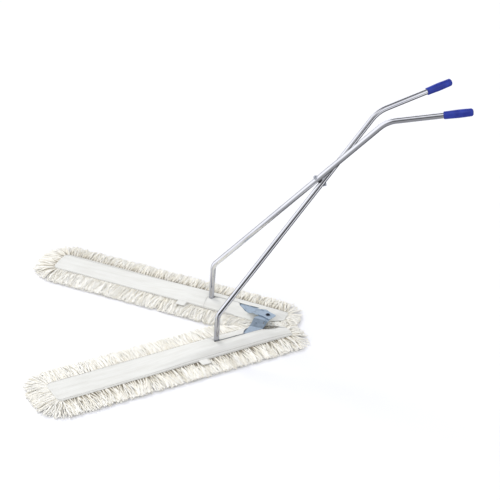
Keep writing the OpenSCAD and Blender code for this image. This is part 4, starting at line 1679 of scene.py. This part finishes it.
@dataclass(frozen=True)
class Panel:
    """A soft box or a dark flag that polished metal reflects.

    Attributes:
        azimuth: Direction of its middle, in degrees from the X axis.
        elevation: Height of its middle, in degrees.
        inner: Angle from the middle within which it is full, in degrees.
        outer: Angle at which it ends, in degrees.
        level: Its brightness.
        low: Least height of the directions that it covers, as a sine.
        high: Greatest height of the directions that it covers, as a sine.
    """

    azimuth: float
    elevation: float
    inner: float
    outer: float
    level: float
    low: float = -1.0
    high: float = 1.0

    @property
    def axis(self) -> Vector:
        """Direction of its middle."""
        turn, rise = math.radians(self.azimuth), math.radians(self.elevation)
        return Vector((math.cos(turn) * math.cos(rise), math.sin(turn) * math.cos(rise), math.sin(rise)))


ROOM = (
    Panel(180.0, -25.0, 25.0, 60.0, 0.62),
    Panel(178.0, 14.0, 30.0, 46.0, 1.15),
    Panel(90.0, 22.0, 30.0, 50.0, 1.25, 0.06, 0.62),
    Panel(100.0, 51.0, 22.0, 32.0, 0.0, 0.63),
    Panel(-103.0, 6.0, 30.0, 38.0, 0.02, -0.03, 0.36),
    Panel(-60.0, 40.0, 16.0, 28.0, 1.10),
    Panel(4.0, -48.0, 22.0, 34.0, 0.06),
    Panel(-150.0, 62.0, 10.0, 20.0, 1.10),
    Panel(-50.0, -21.0, 9.0, 17.0, 1.05),
)


class Sky(NodeKit):
    """The world round the mop: what a ray that leaves it meets."""

    def __init__(self) -> None:
        """Starts the scene's world."""
        world = bpy.data.worlds.new("sky")
        world.use_nodes = True
        bpy.context.scene.world = world
        super().__init__(world.node_tree)
        self.ray = self.socket("ShaderNodeTexCoord", {}, "Generated")
        self.height = self.upward(self.ray)

    def span(self, value: Socket, bounds: Span, ends: Span = (0.0, 1.0)) -> Socket:
        """Smooth step of a value from one end to the other between two bounds."""
        feeds = dict(zip(("Value", "From Min", "From Max", "To Min", "To Max"), (value, *bounds, *ends)))
        return self.socket("ShaderNodeMapRange", feeds, interpolation_type="SMOOTHSTEP")

    def facing(self, axis: Vector | Place) -> Socket:
        """Cosine between the ray and an axis."""
        return self.vector("DOT_PRODUCT", self.ray, axis, 1)

    def between(self, share: Socket, a: Socket, b: float) -> Socket:
        """Brightness a share of the way from a to b."""
        return self.socket("ShaderNodeMix", {"Factor": share, "A": a, "B": b})

    def glow(self, tint: Color, level: Socket, strength: float) -> Socket:
        """Tinted background of a brightness."""
        feeds = {"Color": self.scaled(tint, level), "Strength": strength}
        return self.socket("ShaderNodeBackground", feeds)


@dataclass
class Studio:
    """Pale floor, soft light and the camera at the photograph's angle."""

    camera_place: Place = (-0.5464, -4.8069, 3.2270)
    yaw: float = 0.12394816
    pitch: float = 0.53263524
    roll: float = 0.07594838
    focal_pixels: float = 1402.32
    frame_pixels: float = 500.0
    sensor: float = 36.0
    sight: float = 100.0
    floor_half: float = 30.0
    floor_color: Color = (0.87, 0.87, 0.87)
    floor_roughness: float = 0.9
    sky: float = 0.79
    sky_low: float = 0.75
    sky_high: float = 0.95
    sky_tint: Color = (0.93, 0.94, 1.0)
    room_low: float = 0.33
    room_high: float = 0.42
    room_soft: float = 0.05
    fill_axis: Place = (-0.50, -0.72, 0.48)
    fill: float = 1.85
    key: float = 1.30
    key_size: float = math.radians(18.0)
    key_aim: Place = (0.50, -0.80, -0.80)

    def camera(self) -> None:
        """Makes the camera and sets it on the scene."""
        data = bpy.data.cameras.new("camera")
        data.sensor_width = self.sensor
        data.lens = self.focal_pixels / self.frame_pixels * self.sensor
        data.clip_end = self.sight
        made = bpy.data.objects.new("camera", data)
        ahead = Vector((
            math.sin(self.yaw) * math.cos(self.pitch),
            math.cos(self.yaw) * math.cos(self.pitch),
            -math.sin(self.pitch),
        ))
        level = Vector((math.cos(self.yaw), -math.sin(self.yaw), 0.0))
        up = level.cross(ahead)
        right = level * math.cos(self.roll) + up * math.sin(self.roll)
        top = up * math.cos(self.roll) - level * math.sin(self.roll)
        turn = Matrix((right, top, -ahead)).transposed().to_4x4()
        made.matrix_world = Matrix.Translation(self.camera_place) @ turn
        bpy.context.scene.collection.objects.link(made)
        bpy.context.scene.camera = made

    def floor(self) -> None:
        """Lays the floor."""
        h = self.floor_half
        mesh = bpy.data.meshes.new("floor")
        mesh.from_pydata([(-h, -h, 0.0), (h, -h, 0.0), (h, h, 0.0), (-h, h, 0.0)], [], [(0, 1, 2, 3)])
        sh = Shader("floor")
        sh.set(base_color=(*self.floor_color, 1.0), roughness=self.floor_roughness)
        mesh.materials.append(sh.material)
        floor = piece("floor", mesh)
        floor.visible_glossy = False

    def room(self, sky: Sky) -> Socket:
        """Brightness of the room that metal reflects.

        Args:
            sky: The world.

        Returns:
            The brightness.
        """
        soft = self.room_soft
        room = sky.span(sky.height, (-soft, soft), (self.room_low, self.room_high))
        for panel in ROOM:
            edge, full = (math.cos(math.radians(angle)) for angle in (panel.outer, panel.inner))
            share = sky.span(sky.facing(panel.axis), (edge, full))
            if panel.low > -1.0:
                above = sky.span(sky.height, (panel.low - soft, panel.low + soft))
                share = sky.times(share, above)
            if panel.high < 1.0:
                below = sky.span(sky.height, (panel.high - soft, panel.high + soft), (1.0, 0.0))
                share = sky.times(share, below)
            room = sky.between(share, room, panel.level)
        return room

    def light(self) -> None:
        """Sets the soft sky, the room that metal reflects and the key light from behind."""
        bpy.context.scene.view_settings.view_transform = "Standard"
        sky = Sky()
        level = sky.span(sky.height, (0.0, 1.0), (self.sky_low, self.sky_high))
        level = sky.between(sky.span(sky.facing(self.fill_axis), (0.0, 1.0)), level, self.fill)
        soft = sky.glow(self.sky_tint, level, self.sky)
        polished = sky.glow(self.sky_tint, self.room(sky), 1.0)
        gloss = sky.socket("ShaderNodeLightPath", {}, "Is Glossy Ray")
        shown = sky.socket("ShaderNodeMixShader", {0: gloss, 1: soft, 2: polished})
        sky.links.new(shown, sky.nodes["World Output"].inputs["Surface"])
        data = bpy.data.lights.new("key", "SUN")
        data.energy = self.key
        data.angle = self.key_size
        key = bpy.data.objects.new("key", data)
        key.rotation_euler = Vector(self.key_aim).to_track_quat("-Z", "Y").to_euler()
        key.visible_glossy = False
        bpy.context.scene.collection.objects.link(key)


def dress(made: Object, body: str, slot: str, *nodes: str) -> Object:
    """Puts a piece on its body and hides the nodes that it replaces.

    Args:
        made: The piece.
        body: Body that it rides on.
        slot: Not used.
        nodes: Nodes that it replaces.

    Returns:
        The piece.
    """
    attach(made, body)
    if nodes:
        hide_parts(*nodes)
    LOG.info("%s rides on %s", made.name, body)
    return made


def joint_place(frame: dict, name: str) -> Vector:
    """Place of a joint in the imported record.

    Args:
        frame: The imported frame.
        name: Name of the joint.

    Returns:
        The place in metres.
    """
    for joint in frame["record"]["behaviour"]["joints"]:
        if joint["name"] == name:
            return Vector(joint["pos_m"])
    raise KeyError(name)


def build_wing(frame: dict, side: Side, finishes: Materials, strands: Tree, stitches: Tree) -> None:
    """Makes one wing's cover, yarn and pad.

    Args:
        frame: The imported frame.
        side: Side of the wing.
        finishes: Shared materials by name.
        strands: Tree that grows yarn.
        stitches: Tree that lays stitches.
    """
    form = WingForm(side, joint_place(frame, "wing_spread").x)
    body = side.node("wing")
    cover = CanvasCover(form, finishes["cotton_backing"], finishes["seam_thread"], stitches)
    cloth = dress(cover.cloth(), body, "cotton_backing", side.node("cover_backing"))
    seams = dress(cover.seams(), body, "cotton_backing")
    tags = dress(cover.tags(), body, "cotton_backing")
    fringe = YarnFringe(form, finishes["cotton_yarn"], strands)
    stretches = {
        "outer_fringe": fringe.side_roots(True),
        "end_fringe": fringe.end_roots(),
        "inner_fringe": fringe.side_roots(False),
        "apex_fringe": fringe.apex_roots(),
    }
    for number, (name, roots) in enumerate(stretches.items()):
        grown = fringe.grow(name, roots, SEED_STEP * number)
        dress(grown, body, "cotton_yarn", side.node("fringe"))
    looped = YarnPad(form, finishes["cotton_yarn"])
    pad = dress(looped.body(), body, "cotton_yarn", side.node("mop_pad"))
    side.node("spine")


def build_handle(frame: dict, side: Side, finishes: Materials) -> None:
    """Makes one handle's tube and grip.

    Args:
        frame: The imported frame.
        side: Side of the handle.
        finishes: Shared materials by name.
    """
    foot = joint_place(frame, side.node("handle_swivel"))
    handle = Handle(side, foot, finishes["chrome_tube"], finishes["blue_plastic"])
    low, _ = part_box(side.node("handle_tube"))
    if side is Side.RIGHT:
        handle.low_bend_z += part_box("right_handle_tube")[1][2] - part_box("left_handle_tube")[1][2]
    handle.stem_bottom = low[2]
    body = side.node("handle")
    dress(handle.tube(), body, "chrome_tube", side.node("handle_tube"))
    dress(handle.grip(), body, "blue_plastic", side.node("grip"))


def finish_nodes(frame: dict, finishes: Materials) -> None:
    """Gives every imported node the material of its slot, and pressed steel its worn edges.

    Args:
        frame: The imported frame.
        finishes: Shared materials by name.
    """
    for row in frame["record"]["subparts"]:
        shown = frame["nodes"][row["node"]]
        shown.data.materials.clear()
        slot = row["material_slot"]
        shown.data.materials.append(finishes["blacked_steel" if row["node"] == BLACKED_NODE else slot])
        if slot in EDGED_SLOTS:
            weld = shown.modifiers.new("weld", "WELD")
            weld.merge_threshold = EDGE_WELD
            edge = shown.modifiers.new("edge", "BEVEL")
            edge.width = EDGE_WIDTH
            edge.segments = EDGE_SEGMENTS
            edge.limit_method = "ANGLE"
            edge.angle_limit = EDGE_ANGLE


def main() -> None:
    """Builds the mop round the frame."""
    logging.basicConfig(level=logging.INFO)
    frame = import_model()
    studio = Studio()
    studio.camera()
    studio.floor()
    studio.light()
    finishes = {finish.name: finish.material() for finish in FINISHES}
    finish_nodes(frame, finishes)
    strands, stitches = Strand().tree(), stitch_tree()
    for side in Side:
        build_wing(frame, side, finishes, strands, stitches)
        build_handle(frame, side, finishes)


if __name__ == "__main__":
    main()
